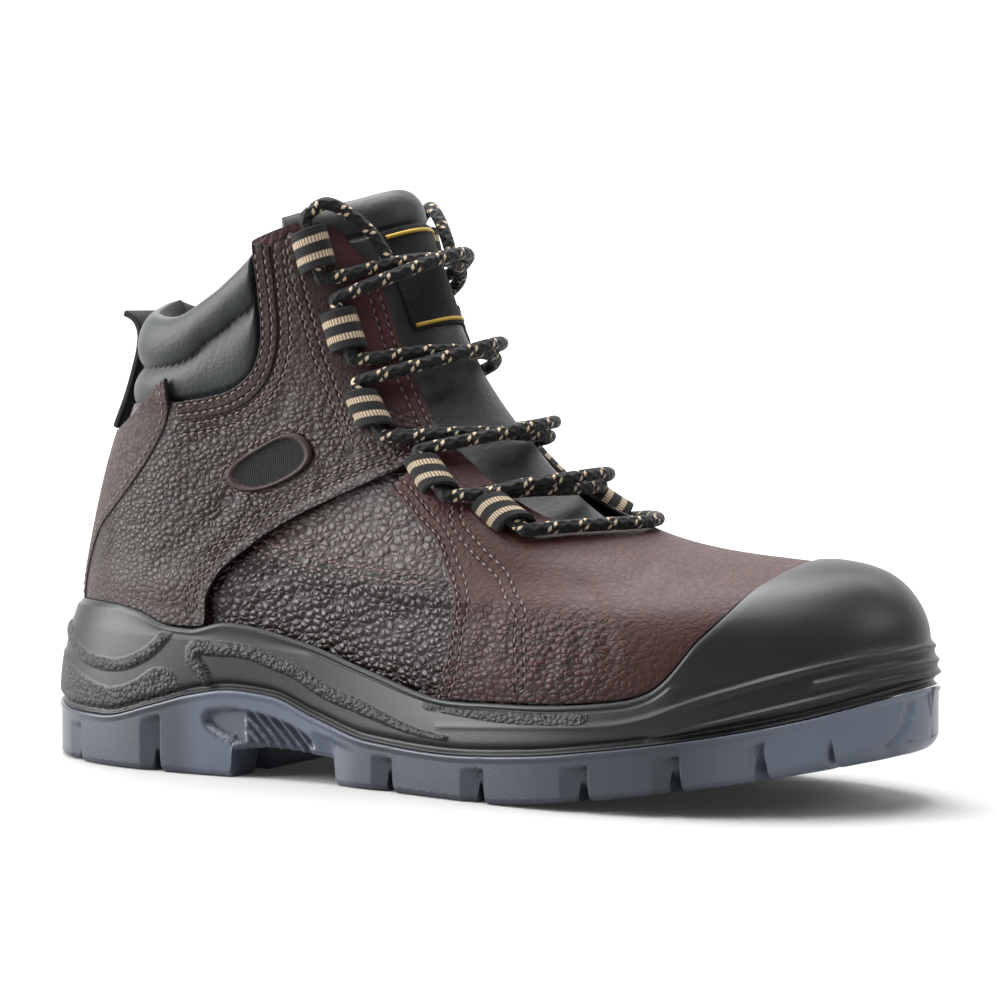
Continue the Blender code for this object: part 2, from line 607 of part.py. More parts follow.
def side_relief(x, z, height):
    """Moulded relief of the sole's side: ridges round the toe, and ribs along the waist and the heel."""
    toe = np.clip((x - TOE_RIDGES.start) / TOE_RIDGES.ramp, 0, 1) * (height < TOE_RIDGES.lowest)
    relief = TOE_RIDGES.depth * toe * np.cos(2 * np.pi * (height / TOE_RIDGES.pitch - TOE_RIDGES.phase))
    for rib in RIBS:
        along = np.clip((x - rib.start) / (rib.end - rib.start), 0, 1)
        middle = rib.start_z + (rib.end_z - rib.start_z) * along**RIB_BOW
        inside = np.clip((x - rib.start) / rib.fade, 0, 1) * np.clip((rib.end - x) / rib.fade, 0, 1)
        relief = relief + rib.depth * inside * np.exp(-(((z - middle) / rib.width) ** 2))
    return relief


def build_midsole(finish):
    """Foamed sole body and scuff cap in one: a cup round the upper's lower edge, with a moulded side."""
    turns, _ = sole_columns()
    columns = len(turns)
    rim_t = rim(turns)
    inside = [lifted(f * rim_t, turns, CUP_LIFT) for f in CUP_ROWS]
    inside[0][:, 2] = form(0.0, turns)[:, 2] - CUP_DEPTH
    shoulder_t = np.minimum(1.0, SHOULDER_DROP * rim_t)
    shoulder_lift = SHOULDER_SHARE * welt(turns) + SHOULDER_LIFT
    outside = []
    for f in np.linspace(0, 1, SHOULDER_ROWS):
        lift = RIM_LIFT + (shoulder_lift - RIM_LIFT) * np.sqrt(f)
        outside.append(lifted(rim_t + (shoulder_t - rim_t) * f, turns, lift))
    shoulder = outside[-1]
    edge = outline(turns)
    foot = joint_height(edge[:, 0]) + CLEARANCE
    for f in np.linspace(0, 1, SIDE_ROWS)[1:]:
        out = 1 - (1 - f) ** 2
        plan = shoulder[:, :2] + (edge - shoulder[:, :2]) * out
        z = shoulder[:, 2] + (foot - shoulder[:, 2]) * f
        relief = side_relief(plan[:, 0], z, f) * (f < 1)
        plan = plan + relief[:, None] * plan_normal(turns)
        outside.append(np.concatenate([plan, z[:, None]], 1))
    rings = inside + outside
    points = np.concatenate(rings)
    index = np.arange(len(points)).reshape(len(rings), columns)
    faces = [face[::-1] for face in ring_faces(index)]
    faces += ladder(index[0])
    faces += [face[::-1] for face in ladder(index[-1])]
    solid("midsole", points, faces, finish)


def build_outsole(finish):
    """Plate under the midsole with lugs drawn down from its edge and its middle, and notches between."""
    turns, stations = sole_columns()
    columns = len(turns)

    def ring(inset, height):
        plan = outline(turns, inset)
        return np.concatenate([plan, height(plan[:, 0])[:, None]], 1)

    heights = (
        (0.0, joint_height),
        (0.0, plate_height),
        (LUG_REACH, plate_height),
        (LUG_REACH + GROOVE, plate_height),
    )
    mesh = bmesh.new()
    rings = [[mesh.verts.new(p) for p in placed(ring(inset, height))] for inset, height in heights]
    for face in ladder(list(range(columns))):
        mesh.faces.new([rings[0][j] for j in face])
    cells = []
    for upper, lower in zip(rings, rings[1:]):
        cells.append(
            [
                mesh.faces.new((upper[j], lower[j], lower[(j + 1) % columns], upper[(j + 1) % columns]))
                for j in range(columns)
            ]
        )
    middle = [mesh.faces.new([rings[3][j] for j in face[::-1]]) for face in ladder(list(range(columns)))]
    treads = lug_columns(stations)
    for start, end in treads:
        draw_down(mesh, [cells[1][j % columns] for j in range(start, end)])
    half = columns // 2
    for start, end in treads:
        if 1 <= start and end < half - 1:
            draw_down(mesh, [middle[j] for j in range(start, end)])
    bmesh.ops.recalc_face_normals(mesh, faces=mesh.faces)
    data = bpy.data.meshes.new("outsole")
    mesh.to_mesh(data)
    mesh.free()
    add_object("outsole", data, finish)


def lug_columns(stations):
    """First and last column of each lug round the sole: the spans between notches, without the arch."""
    count = len(stations)
    half = count // 2
    notch = NOTCH_WIDTH / 2
    spans = []
    bounds = sorted([(x - notch, x + notch) for x in NOTCHES] + [(HEEL_BREAST, TREAD_START)])
    column = {float(x): j for j, x in enumerate(stations[:half]) if np.isfinite(x)}
    for before, after in zip(bounds, bounds[1:]):
        spans.append((column[before[1]], column[after[0]]))
    lugs = list(spans)
    lugs += [(count - end, count - start) for start, end in spans]
    first, last = column[bounds[0][0]], column[bounds[-1][1]]
    lugs.append((count - first, count + first))
    lugs.append((last, count - last))
    return lugs


def draw_down(mesh, faces):
    """Draws a patch of the plate's underside down to the tread."""
    moved = bmesh.ops.extrude_face_region(mesh, geom=faces)["geom"]
    bmesh.ops.delete(mesh, geom=faces, context="FACES")
    for vert in moved:
        if isinstance(vert, bmesh.types.BMVert):
            x = vert.co.x / MM + FOOTPRINT_CENTRE[0]
            vert.co.z = float(tread_height(x)) * MM


def speeds(t, a, step=1e-3):
    """Millimetres on the form for one ring and for one turn."""
    up = np.linalg.norm(form(t + step, a) - form(t - step, a)) / (2 * step)
    around = np.linalg.norm(form(t, a + step) - form(t, a - step)) / (2 * step)
    return up, around


def build_badge(finish):
    """Bare oval patch on the lateral quarter: a square grid drawn out to an ellipse."""
    up, around = speeds(*BADGE_MIDDLE)
    along = np.array([(BADGE_TIP.t - BADGE_MIDDLE.t) * up, (BADGE_TIP.a - BADGE_MIDDLE.a) * around])
    across = np.array([-along[1], along[0]]) * BADGE_HALF_WIDTH / np.linalg.norm(along)
    p, q = np.meshgrid(np.linspace(-1, 1, 6), np.linspace(-1, 1, 6))
    p, q = p * np.sqrt(1 - q**2 / 2), q * np.sqrt(1 - p**2 / 2)
    t = BADGE_MIDDLE.t + (p * along[0] + q * -across[0]) / up
    a = BADGE_MIDDLE.a + (p * along[1] + q * -across[1]) / around
    base = PANEL_LIFT + BADGE_GAP
    thick_sheet("side_badge", lifted(t, a, base + BADGE_THICKNESS), lifted(t, a, base), finish)


def build_pull_loop(finish):
    route = np.array(PULL_ROUTE)
    along = np.gradient(route, axis=0)
    outward = np.stack([-along[:, 1], along[:, 0]], -1)
    outward *= PULL_THICKNESS / 2 / np.linalg.norm(outward, axis=1, keepdims=True)
    y = np.array([1, -1]) * PULL_WIDTH / 2

    def face(line):
        return np.array([[(x, side, z) for side in y] for x, z in line])

    thick_sheet("pull_loop", face(route + outward), face(route - outward), finish)


def build_loops(finish):
    """Ten webbing loops, each an arch over the lace that follows the form under it."""
    section = np.array(LOOP_SECTION)
    count = len(section)
    for side, name in ((1, "lateral"), (-1, "medial")):
        for number, loop in enumerate(LOOPS, start=1):
            a = loop.w if side > 0 else 2 - loop.w
            up, around = speeds(loop.t, a)
            turns = a + side * section[:, 0] / around
            lift = PANEL_LIFT + section[:, 1]
            ends = [loop.t - side * half * LOOP_WIDTH / up for half in (-0.5, 0.5)]
            points = np.concatenate([lifted(t, turns, lift) for t in ends])
            faces = [(j, (j + 1) % count, (j + 1) % count + count, j + count) for j in range(count)]
            faces += [range(count)[::-1], range(count, 2 * count)]
            solid(f"lace_loop_{name}_{number}", points, faces, finish)


def lace_route():
    """Places that the lace passes: down from the lateral top loop, round the lowest bar and up again."""
    rows = range(len(LOOPS))
    downward = [(k % 2 == 0, k, 1) for k in rows[::-1]]
    upward = [(k % 2 == 1, k, -1) for k in rows]
    route = list(LACE_END)
    for lateral, k, way in downward + upward:
        loop = LOOPS[k]
        a = loop.w if lateral else 2 - loop.w
        reach = (LOOP_WIDTH / 2 + LOOP_MOUTH) / speeds(loop.t, a)[0]
        passes = [Route(loop.t + reach * f, a, PANEL_LIFT + LACE_LIFT) for f in (way, 0, -way)]
        if route[-1] == LACE_END[-1]:
            route += passes
            continue
        if (k, way) == (0, -1):
            route += BOTTOM_BAR + tuple(passes)
            continue
        before, after = route[-1], passes[0]
        over = (k + (way < 0)) % 2 == (way < 0)
        for place in CROSSING if before.a < 1 else CROSSING[::-1]:
            share = (place.a - before.a) / (after.a - before.a)
            t = before.t + (after.t - before.t) * share
            route.append(Route(t, place.a, place.over if over else place.under))
        route += passes
    route += [Route(row.t, 2 - row.a, row.lift) for row in LACE_END[::-1]]
    return np.array(route)


def build_lace(finish):
    """Round tube along the route, with a ring at each place and even steps between."""
    route = lace_route()
    places = lifted(*route.T)
    gone = np.concatenate([[0], np.cumsum(np.linalg.norm(np.diff(places, axis=0), axis=1))])
    steps = [0.0]
    for start, end in zip(gone, gone[1:]):
        count = int(np.ceil((end - start) / LACE_STEP))
        steps += list(np.linspace(start, end, count + 1)[1:])
    path = lifted(*follow(np.column_stack([gone, route]), steps).T)
    along = np.gradient(path, axis=0)
    along /= np.linalg.norm(along, axis=1, keepdims=True)
    turn = np.arange(LACE_SIDES)[:, None] * 2 * np.pi / LACE_SIDES
    side = np.cross(along[0], (0, 1, 0))
    rings = []
    for place, ahead in zip(path, along):
        side = side - ahead * (side @ ahead)
        side /= np.linalg.norm(side)
        rings.append(place + LACE_RADIUS * (np.cos(turn) * side + np.sin(turn) * np.cross(ahead, side)))
    index = np.arange(len(path) * LACE_SIDES).reshape(-1, LACE_SIDES)
    faces = ring_faces(index) + [index[0][::-1], index[-1]]
    solid("lace", np.concatenate(rings), faces, finish)


MATERIALS = {
    "leather": material("tumbled_leather", (0.055, 0.028, 0.024), 0.5, 0.2),
    "suede": material("brushed_leather", (0.075, 0.045, 0.038), 0.9),
    "lining": material("collar_cloth", (0.02, 0.021, 0.022), 0.6),
    "midsole": material("foamed_rubber", (0.018, 0.019, 0.02), 0.7),
    "outsole": material("clear_rubber", (0.06, 0.068, 0.09), 0.35),
    "webbing": material("striped_webbing", (0.03, 0.028, 0.024), 0.8),
    "lace": material("round_lace", (0.015, 0.015, 0.015), 0.8),
    "footbed": material("footbed_felt", (0.03, 0.03, 0.032), 0.9),
}


def main():
    build_outsole(MATERIALS["outsole"])
    build_midsole(MATERIALS["midsole"])
    build_upper(MATERIALS["leather"])
    build_panels(MATERIALS["leather"], MATERIALS["suede"])
    build_collar(MATERIALS["lining"])
    build_tongue(MATERIALS["lining"], MATERIALS["webbing"])
    build_insole(MATERIALS["footbed"])
    build_badge(MATERIALS["webbing"])
    build_pull_loop(MATERIALS["webbing"])
    build_loops(MATERIALS["webbing"])
    build_lace(MATERIALS["lace"])


for old in list(bpy.data.objects):
    bpy.data.objects.remove(old, do_unlink=True)
main()
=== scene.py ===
# %% [markdown]
# A right-foot safety boot: brown tumbled leather over a moulded sole, with webbing loops for a round
# lace. Every leather panel of the real boot is pulled over one last, so here every panel is cut from one
# form. The form is a function of two numbers, and a piece is a grid of those numbers with a thickness.
# That keeps neighbouring pieces nested, and it lets a crease or a seam be given in the boot's own sizes.

# %% Load the fixed frame
from collections import namedtuple

import bmesh
import bpy
import numpy as np
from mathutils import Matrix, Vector


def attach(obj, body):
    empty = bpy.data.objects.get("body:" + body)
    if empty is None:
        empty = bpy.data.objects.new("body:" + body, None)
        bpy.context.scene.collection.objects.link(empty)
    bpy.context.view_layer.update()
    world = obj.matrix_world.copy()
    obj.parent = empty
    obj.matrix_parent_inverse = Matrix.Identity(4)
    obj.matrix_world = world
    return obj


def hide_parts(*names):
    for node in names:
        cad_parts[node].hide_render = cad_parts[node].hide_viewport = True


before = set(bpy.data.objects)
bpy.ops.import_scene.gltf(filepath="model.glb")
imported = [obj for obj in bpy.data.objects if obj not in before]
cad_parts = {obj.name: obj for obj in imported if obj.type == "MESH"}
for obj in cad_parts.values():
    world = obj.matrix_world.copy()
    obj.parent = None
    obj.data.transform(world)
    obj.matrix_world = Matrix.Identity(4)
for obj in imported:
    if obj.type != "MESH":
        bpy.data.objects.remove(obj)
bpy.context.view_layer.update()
print("frame:", len(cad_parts), "solids")

# %% [markdown]
# The last. Rings fan from the feather edge, where upper meets sole, to the top line. Place t is the ring
# and a is the turn round it: 0 at the heel, 1 at the front, lateral up to 1 and medial from 1 to 2. A
# lift is a height above the form. All sizes are millimetres, and a point goes to metres only when its
# mesh is made.

# %% Sizes of the last and of the layers on it
MM = 0.001
FOOTPRINT_CENTRE = (152.46, -0.99, 0.0)
PANEL_LIFT, PANEL_INNER_LIFT = 0.5, -0.7
SHELL_LIFT, SHELL_INNER_LIFT = -1.6, -3.6
CUP_LIFT, RIM_LIFT, CUP_DEPTH = -0.5, 1.8, 0.6
CLEARANCE = 0.3
Ring = namedtuple(
    "Ring",
    "back_x back_z front_x front_z front_y dip"
    " lat_heel lat_waist lat_ball lat_toe med_heel med_waist med_ball med_toe",
)
RINGS = (
    Ring(9.5, 34, 296, 40.0, 4.0, 18, 32.0, 37.0, 50.0, 38.0, 32.0, 30.0, 46.0, 40.0),
    Ring(8.0, 44, 300, 51.0, 4.0, 14, 34.0, 40.0, 53.5, 40.0, 34.0, 34.0, 50.5, 42.0),
    Ring(7.5, 52, 296, 62.0, 4.0, 10, 33.5, 40.0, 52.0, 39.5, 33.5, 35.5, 49.5, 41.5),
    Ring(8.0, 59, 284, 69.5, 4.0, 9, 33.0, 39.5, 49.5, 36.5, 33.0, 36.0, 46.0, 36.5),
    Ring(9.5, 67, 258, 72.5, 4.0, 8, 31.5, 38.0, 47.0, 33.0, 31.5, 36.5, 42.0, 33.0),
    Ring(12.0, 77, 226, 76.0, 4.0, 5, 30.0, 36.0, 41.5, 35.0, 30.0, 35.5, 38.0, 33.5),
    Ring(16.0, 90, 198, 86.0, 3.9, 3, 29.0, 34.0, 37.0, 33.5, 29.0, 34.0, 35.5, 31.0),
    Ring(21.5, 106, 174, 105.0, 2.5, 2, 27.0, 33.0, 34.0, 27.5, 27.0, 33.0, 33.5, 26.0),
    Ring(28.0, 121, 154, 130.0, 1.4, 3, 25.0, 33.5, 33.5, 24.5, 25.0, 33.5, 33.5, 24.5),
    Ring(33.0, 137, 141, 158.0, 0.6, 5, 25.0, 34.5, 34.0, 24.0, 25.0, 34.5, 34.0, 24.0),
    Ring(37.0, 158, 129, 189.0, 0.0, 4, 26.0, 36.5, 36.0, 25.0, 26.0, 36.5, 36.0, 25.0),
)
STATIONS = (0.10, 0.38, 0.68, 0.89)
SAG_POWER = 2.0
STATION_TURNS = (0.0, 0.16, 0.40, 0.64, 0.82, 1.0)


# %% Curves through tables
def run_along(points):
    """Distance gone along a line at each of its points, from 0."""
    return np.concatenate([[0], np.cumsum(np.linalg.norm(np.diff(points, axis=0), axis=1))])


def cubic(knots, values, at):
    """Natural cubic spline through values at knots, read at every number in at."""
    knots, values, at = (np.asarray(v, float) for v in (knots, values, at))
    step = np.diff(knots)
    system = np.eye(len(knots))
    right = np.zeros_like(values)
    slope = np.diff(values, axis=0) / step[:, None]
    for i in range(1, len(knots) - 1):
        system[i, i - 1 : i + 2] = step[i - 1], 2 * (step[i - 1] + step[i]), step[i]
        right[i] = 6 * (slope[i] - slope[i - 1])
    bend = np.linalg.solve(system, right)
    i = np.clip(np.searchsorted(knots, at, side="right") - 1, 0, len(knots) - 2)
    far = ((at - knots[i]) / step[i])[..., None]
    near = 1 - far
    curve = ((near**3 - near) * bend[i] + (far**3 - far) * bend[i + 1]) * (step[i] ** 2)[..., None] / 6
    return near * values[i] + far * values[i + 1] + curve


def follow(table, at):
    """Smooth curve through a table's rows, its first column the parameter, that never swings past a row."""
    rows = np.array(table, float)
    knots, values = rows[:, 0], rows[:, 1:]
    step = np.diff(knots)
    slope = np.diff(values, axis=0) / step[:, None]
    product = slope[:-1] * slope[1:]
    total = slope[:-1] + slope[1:]
    level = np.where(product > 0, 2 * product / np.where(total == 0, 1, total), 0)
    tangent = np.concatenate([slope[:1], level, slope[-1:]])
    at = np.asarray(at, float)
    i = np.clip(np.searchsorted(knots, at, side="right") - 1, 0, len(knots) - 2)
    s = np.clip((at - knots[i]) / step[i], 0, 1)[..., None]
    width = step[i][..., None]
    return (
        (1 + 2 * s) * (1 - s) ** 2 * values[i]
        + s**2 * (3 - 2 * s) * values[i + 1]
        + width * s * (1 - s) * ((1 - s) * tangent[i] - s * tangent[i + 1])
    )


def smooth(value, low, high):
    """Soft step: 0 below low, 1 above high and an S-curve between."""
    share = np.clip((value - low) / (high - low), 0, 1)
    return share * share * (3 - 2 * share)


# %% The form and its normal
def ring_net():
    """Control points of the form, one row of ten for each ring."""
    net = []
    for ring in RINGS:
        lateral = (ring.lat_heel, ring.lat_waist, ring.lat_ball, ring.lat_toe)
        medial = (ring.med_heel, ring.med_waist, ring.med_ball, ring.med_toe)
        places = [(0.0, 0.0)]
        places += [(s, -y) for s, y in zip(STATIONS, lateral)]
        places += [(1.0, ring.front_y)]
        places += [(s, y) for s, y in zip(STATIONS[::-1], medial[::-1])]
        s, y = np.array(places).T
        x = ring.back_x + (ring.front_x - ring.back_x) * s
        z = ring.back_z + (ring.front_z - ring.back_z) * s - ring.dip * np.sin(np.pi * s**SAG_POWER)
        net.append(np.stack([x, y, z], -1))
    return np.array(net)


NET = ring_net()
RING_NUMBERS = np.arange(len(RINGS))
ROUND = np.array(STATION_TURNS + tuple(2 - w for w in STATION_TURNS[-2:0:-1]))
ROUND_TILED = np.concatenate([ROUND - 2, ROUND, ROUND + 2])


def form(t, a):
    """Points of the form: splines across the rings and around them, multiplied through the net."""
    t, a = np.broadcast_arrays(np.asarray(t, float), np.mod(np.asarray(a, float), 2))
    across = cubic(RING_NUMBERS, np.eye(len(RINGS)), t)
    around = cubic(ROUND_TILED, np.tile(np.eye(len(ROUND)), (3, 1)), a)
    return np.einsum("...j,...k,jkc->...c", across, around, NET, optimize=True)


def unit(vectors):
    return vectors / np.linalg.norm(vectors, axis=-1, keepdims=True)


def slopes(t, a, step=1e-3):
    """How the form moves, in millimetres, for one ring and for one turn."""
    t, a = np.asarray(t, float), np.asarray(a, float)
    up = (form(t + step, a) - form(t - step, a)) / (2 * step)
    around = (form(t, a + step) - form(t, a - step)) / (2 * step)
    return up, around


def normal(t, a):
    """Outward unit normal: the turn's slope crossed with the ring's slope."""
    up, around = slopes(t, a)
    return unit(np.cross(around, up))


def lifted(t, a, lift):
    """Points of the form moved out along its normal by lift millimetres."""
    return form(t, a) + np.asarray(lift)[..., None] * normal(t, a)


def folded(a):
    """Turn from the heel, 0 to 1, whichever side a is on."""
    a = np.mod(a, 2)
    return np.where(a > 1, 2 - a, a)


print("form: lasted length", round(float(np.ptp(form(1.0, np.linspace(0, 2, 200))[:, 0])), 1), "mm")

# %% [markdown]
# Panel edges. A pattern cutter draws each edge as a line on the last, and so does this table: s runs
# along the edge and each row is a place on the form. A panel is ruled between its lower and its upper
# edge.

# %% Edges of the panels
# Rows of the turn from the heel and the ring.
RIM = (
    (0.000, 1.95), (0.130, 2.02), (0.175, 2.00), (0.205, 1.79), (0.245, 1.34),
    (0.267, 1.31), (0.312, 1.64), (0.384, 1.33), (0.458, 0.88), (0.535, 0.59),
    (0.600, 0.71), (0.658, 0.77), (0.715, 0.84), (0.735, 0.95), (0.787, 1.92),
    (0.871, 3.11), (0.951, 3.53), (1.000, 3.62),
)
# Rows of s along the edge, ring and turn.
SHELL_TOP = (
    (0.00, 7.74, 0.000), (0.30, 7.76, 0.300), (0.42, 7.92, 0.430), (0.50, 8.28, 0.510),
    (0.56, 8.83, 0.553), (0.61, 9.38, 0.568), (0.66, 9.88, 0.582), (0.74, 9.92, 0.680),
    (0.82, 9.80, 0.777), (0.867, 9.45, 0.824),
)
QUARTER_TOP = (
    (0.00, 7.74, 0.306), (0.36, 7.75, 0.316), (0.46, 7.80, 0.360), (0.56, 7.92, 0.430),
    (0.66, 8.28, 0.510), (0.73, 8.83, 0.553), (0.79, 9.38, 0.568), (0.84, 9.88, 0.582),
    (0.91, 9.92, 0.690), (0.96, 9.76, 0.787), (1.00, 9.45, 0.824),
)
QUARTER_LOW = (
    (0.00, 2.03, 0.095), (0.13, 2.04, 0.160), (0.22, 1.82, 0.205), (0.30, 1.37, 0.245),
    (0.36, 1.46, 0.284), (0.40, 2.45, 0.291), (0.45, 3.70, 0.321), (0.51, 4.60, 0.371),
    (0.59, 5.36, 0.436), (0.68, 5.86, 0.500), (0.76, 6.22, 0.569), (0.84, 6.58, 0.664),
    (0.91, 6.83, 0.745), (1.00, 7.27, 0.834),
)
VAMP_TOP = (
    (0.00, 6.50, 0.690), (0.30, 7.10, 0.836), (0.50, 6.55, 0.866), (0.75, 5.88, 0.897),
    (1.00, 5.64, 1.000),
)
VAMP_BACK_TURN, VAMP_RIM_GAP = 0.53, 0.02
# Rows of ring and turn.
VAMP_SIDE = (
    (0.60, 0.530), (1.46, 0.545), (2.62, 0.563), (4.63, 0.652), (5.68, 0.705),
    (6.24, 0.704), (6.50, 0.690),
)
BACKSTAY_SIDE = (
    (2.00, 0.078), (4.15, 0.104), (4.97, 0.131), (5.64, 0.177), (6.35, 0.228),
    (6.84, 0.260), (7.31, 0.285), (7.72, 0.294), (8.20, 0.288),
)
QUARTER_FRONT = (
    (7.20, 0.834), (7.70, 0.843), (8.30, 0.846), (9.00, 0.850), (9.30, 0.838), (9.45, 0.824),
)
QUARTER_BACKSTAY_GAP, SIDE_FADE, FRONT_FADE = -0.010, 0.36, 0.12
# Rows of s and ring.
BACKSTAY_TOP = (
    (0.0, 7.05), (0.4, 7.15), (0.66, 7.54), (0.8, 7.82), (0.9, 8.05), (1.0, 8.20),
)
BACKSTAY_FOOT = 2.00
# Rows of s along the edge, ring and turn.
PAD_LOW = (
    (0.00, 7.80, 0.000), (0.50, 7.82, 0.290), (0.70, 7.98, 0.420), (0.80, 8.20, 0.480),
    (0.88, 8.60, 0.522), (0.94, 9.03, 0.545), (1.00, 9.46, 0.558),
)
PAD_TOP = (
    (0.00, 9.72, 0.000), (0.25, 9.40, 0.145), (0.50, 9.20, 0.290), (0.70, 9.40, 0.410),
    (0.85, 9.60, 0.495), (1.00, 9.77, 0.566),
)
BACKSTAY_LIFT = 1.0
THROAT_BASE = 5.70


def rim(a):
    """Ring number of the sole's upper rim, which climbs over the toe as the scuff cap."""
    return follow(RIM, folded(a))[..., 0]


def panel_grid(low, top, columns, rows):
    """Rings and turns of a panel: straight lines on the form from its lower to its upper edge."""
    s = np.linspace(0, 1, columns)
    v = np.linspace(0, 1, rows)[:, None, None]
    grid = (1 - v) * follow(low, s) + v * follow(top, s)
    return grid[..., 0], grid[..., 1]


def along_side(grid, side, fade, gap=0.0):
    """Moves a panel's first column onto a drawn side edge; the shift dies away over a share of the panel."""
    t, a = grid
    shift = follow(side, t[:, 0])[:, 0] + gap - a[:, 0]
    dying = np.clip(1 - np.linspace(0, 1, t.shape[1]) / fade, 0, 1) ** 2
    return t, a + shift[:, None] * dying


def along_front(grid, side, fade):
    """The same for a panel's last column."""
    t, a = along_side((grid[0][:, ::-1], grid[1][:, ::-1]), side, fade)
    return t[:, ::-1], a[:, ::-1]


def mirrored(grid):
    """The same panel on the other side, with its columns turned round so that it still faces out."""
    t, a = grid
    return t[:, ::-1], 2 - a[:, ::-1]


def both_sides(grid):
    """A panel that starts at the middle line and runs down both sides."""
    t, a = grid
    return np.concatenate([t[:, :0:-1], t], 1), np.concatenate([-a[:, :0:-1], a], 1)


# %% Sewn lines and creases as paths on the form
def path(places, step=0.6):
    """Even steps, in millimetres, along the smooth line through places on the form, rows of t and a."""
    places = np.array(places, float)
    gone = run_along(form(*places.T))
    fine = follow(np.column_stack([gone, places]), np.linspace(0, gone[-1], 400))
    run = run_along(form(*fine.T))
    even = np.linspace(0, run[-1], max(2, int(run[-1] / step) + 1))
    return np.stack([np.interp(even, run, part) for part in fine.T], -1)


def beside(line, shift):
    """A line moved sideways on the form by shift millimetres: up, for a line that runs forward."""
    up, around = slopes(*line.T)
    outward = unit(np.cross(around, up))
    sideways = unit(np.cross(outward, np.gradient(form(*line.T), axis=0))) * shift
    uu, ua, aa = (up * up).sum(-1), (up * around).sum(-1), (around * around).sum(-1)
    us, as_ = (up * sideways).sum(-1), (around * sideways).sum(-1)
    spread = uu * aa - ua * ua
    return line + np.stack([(us * aa - as_ * ua) / spread, (as_ * uu - us * ua) / spread], -1)


def drawn_beside(line, shift, every=6):
    """A path beside a line. It is thinned before it is drawn again, so that it stays smooth."""
    return path(beside(line, shift)[::every])


def edge_path(table, start=0.0, end=1.0):
    """The stretch of an edge table from s = start to s = end, as a path."""
    return path(follow(table, np.linspace(start, end, 60)))


def other_side(line):
    return line * (1, -1) + (0, 2)


PAIRS_AT_ONCE = 4_000_000


def nearest(points, line):
    """Distance from each point to the closest point of a line, and how far along it that is, 0 to 1."""
    flat = points.reshape(-1, points.shape[-1])
    far, place = np.empty(len(flat)), np.empty(len(flat))
    parts = len(flat) * len(line) // PAIRS_AT_ONCE + 1
    for part in np.array_split(np.arange(len(flat)), parts):
        gap = (flat[part] ** 2).sum(1)[:, None] + (line**2).sum(1) - 2 * flat[part] @ line.T
        closest = gap.argmin(1)
        far[part] = np.sqrt(np.maximum(gap[np.arange(len(part)), closest], 0))
        place[part] = closest / (len(line) - 1)
    return far.reshape(points.shape[:-1]), place.reshape(points.shape[:-1])


Crease = namedtuple("Crease", "t a end_t end_a width depth")
RIDGE_PLACE, RIDGE_SHARE, CREASE_ENDS, CREASE_POWER = 1.9, 0.45, (0.03, 0.97), 0.7


def creased(t, a, creases):
    """Lift of the listed creases: a soft trough of the given half width with a low ridge on each side."""
    relief = np.zeros(t.shape)
    points = form(t, a)
    for crease in creases:
        line = path([(crease.t, crease.a), (crease.end_t, crease.end_a)])
        far, place = nearest(points, form(*line.T))
        across = far / crease.width
        shape = RIDGE_SHARE * np.exp(-((across - RIDGE_PLACE) ** 2)) - np.exp(-(across**2))
        relief += crease.depth * shape * np.sin(np.pi * np.clip(place, *CREASE_ENDS)) ** CREASE_POWER
    return relief


print("sewn lines and creases ready")

# %% [markdown]
# Materials. A node tree is a formula for the surface: coordinates go in, and colour, gloss and height
# come out. One small function adds a node. Patterns read the piece's own coordinates in metres, so their
# scale is one over a real size.


# %% Node helpers
def linear(code):
    """sRGB hex colour to linear RGBA."""
    value = np.array([int(code[i : i + 2], 16) for i in (1, 3, 5)]) / 255
    value = np.where(value <= 0.04045, value / 12.92, ((value + 0.055) / 1.055) ** 2.4)
    return (*map(float, value), 1.0)


def fill(tree, socket, value):
    """An output is linked to the socket; a number or a colour is set on it."""
    if isinstance(value, bpy.types.NodeSocket):
        tree.links.new(value, socket)
    else:
        socket.default_value = value


def add(tree, kind, inputs=(), **settings):
    """Adds one node. Settings are its own switches; an input is a number, a colour, or an output to link."""
    made = tree.nodes.new("ShaderNode" + kind)
    for key, value in settings.items():
        setattr(made, key, value)
    for key, value in dict(inputs).items():
        fill(tree, made.inputs[key], value)
    return made


def new_material(name):
    made = bpy.data.materials.new(name)
    made.use_nodes = True
    shader = made.node_tree.nodes["Principled BSDF"]
    coordinates = add(made.node_tree, "TexCoord").outputs["Object"]
    return made, made.node_tree, shader, coordinates


def finish_with(tree, shader, **sockets):
    """Sets or links the shader's sockets, named with _ for a space."""
    for key, value in sockets.items():
        fill(tree, shader.inputs[key.replace("_", " ")], value)


print("node helpers ready")

# %% [markdown]
# Tumbled cowhide: drummed until the grain breaks into pebbles, then dyed, waxed and polished. To the eye
# it is a dark brown with soft highlights on each pebble, and flatter where the last stretches it. Painted
# shade darkens the valleys between the pebbles and the grooves of the sewing. The marks on each panel say
# how strong the pebble is and how far the seams are.

# %% Leather
TWIN_ROW, STITCH_GROOVE, GROOVE_DEPTH = 1.6, 0.8, 0.5
PEBBLE_STRETCH, PEBBLE_SPREAD, PEBBLE_WANDER = (0.75, 0.9, 1.0), 0.9, (2.4 * MM,) * 3
CRACK_SHARE, CRACK_WIDTH = 0.25, 0.14
# Painted shade: the second and third tones darken the valleys between pebbles and the grooves of the sewing.
BLUSH, PEBBLE_VALLEY_SHADE, SEWING_GROOVE_SHADE, BURNISHED = "#4a1d1c", "#100605", "#0f0908", "#120b0a"


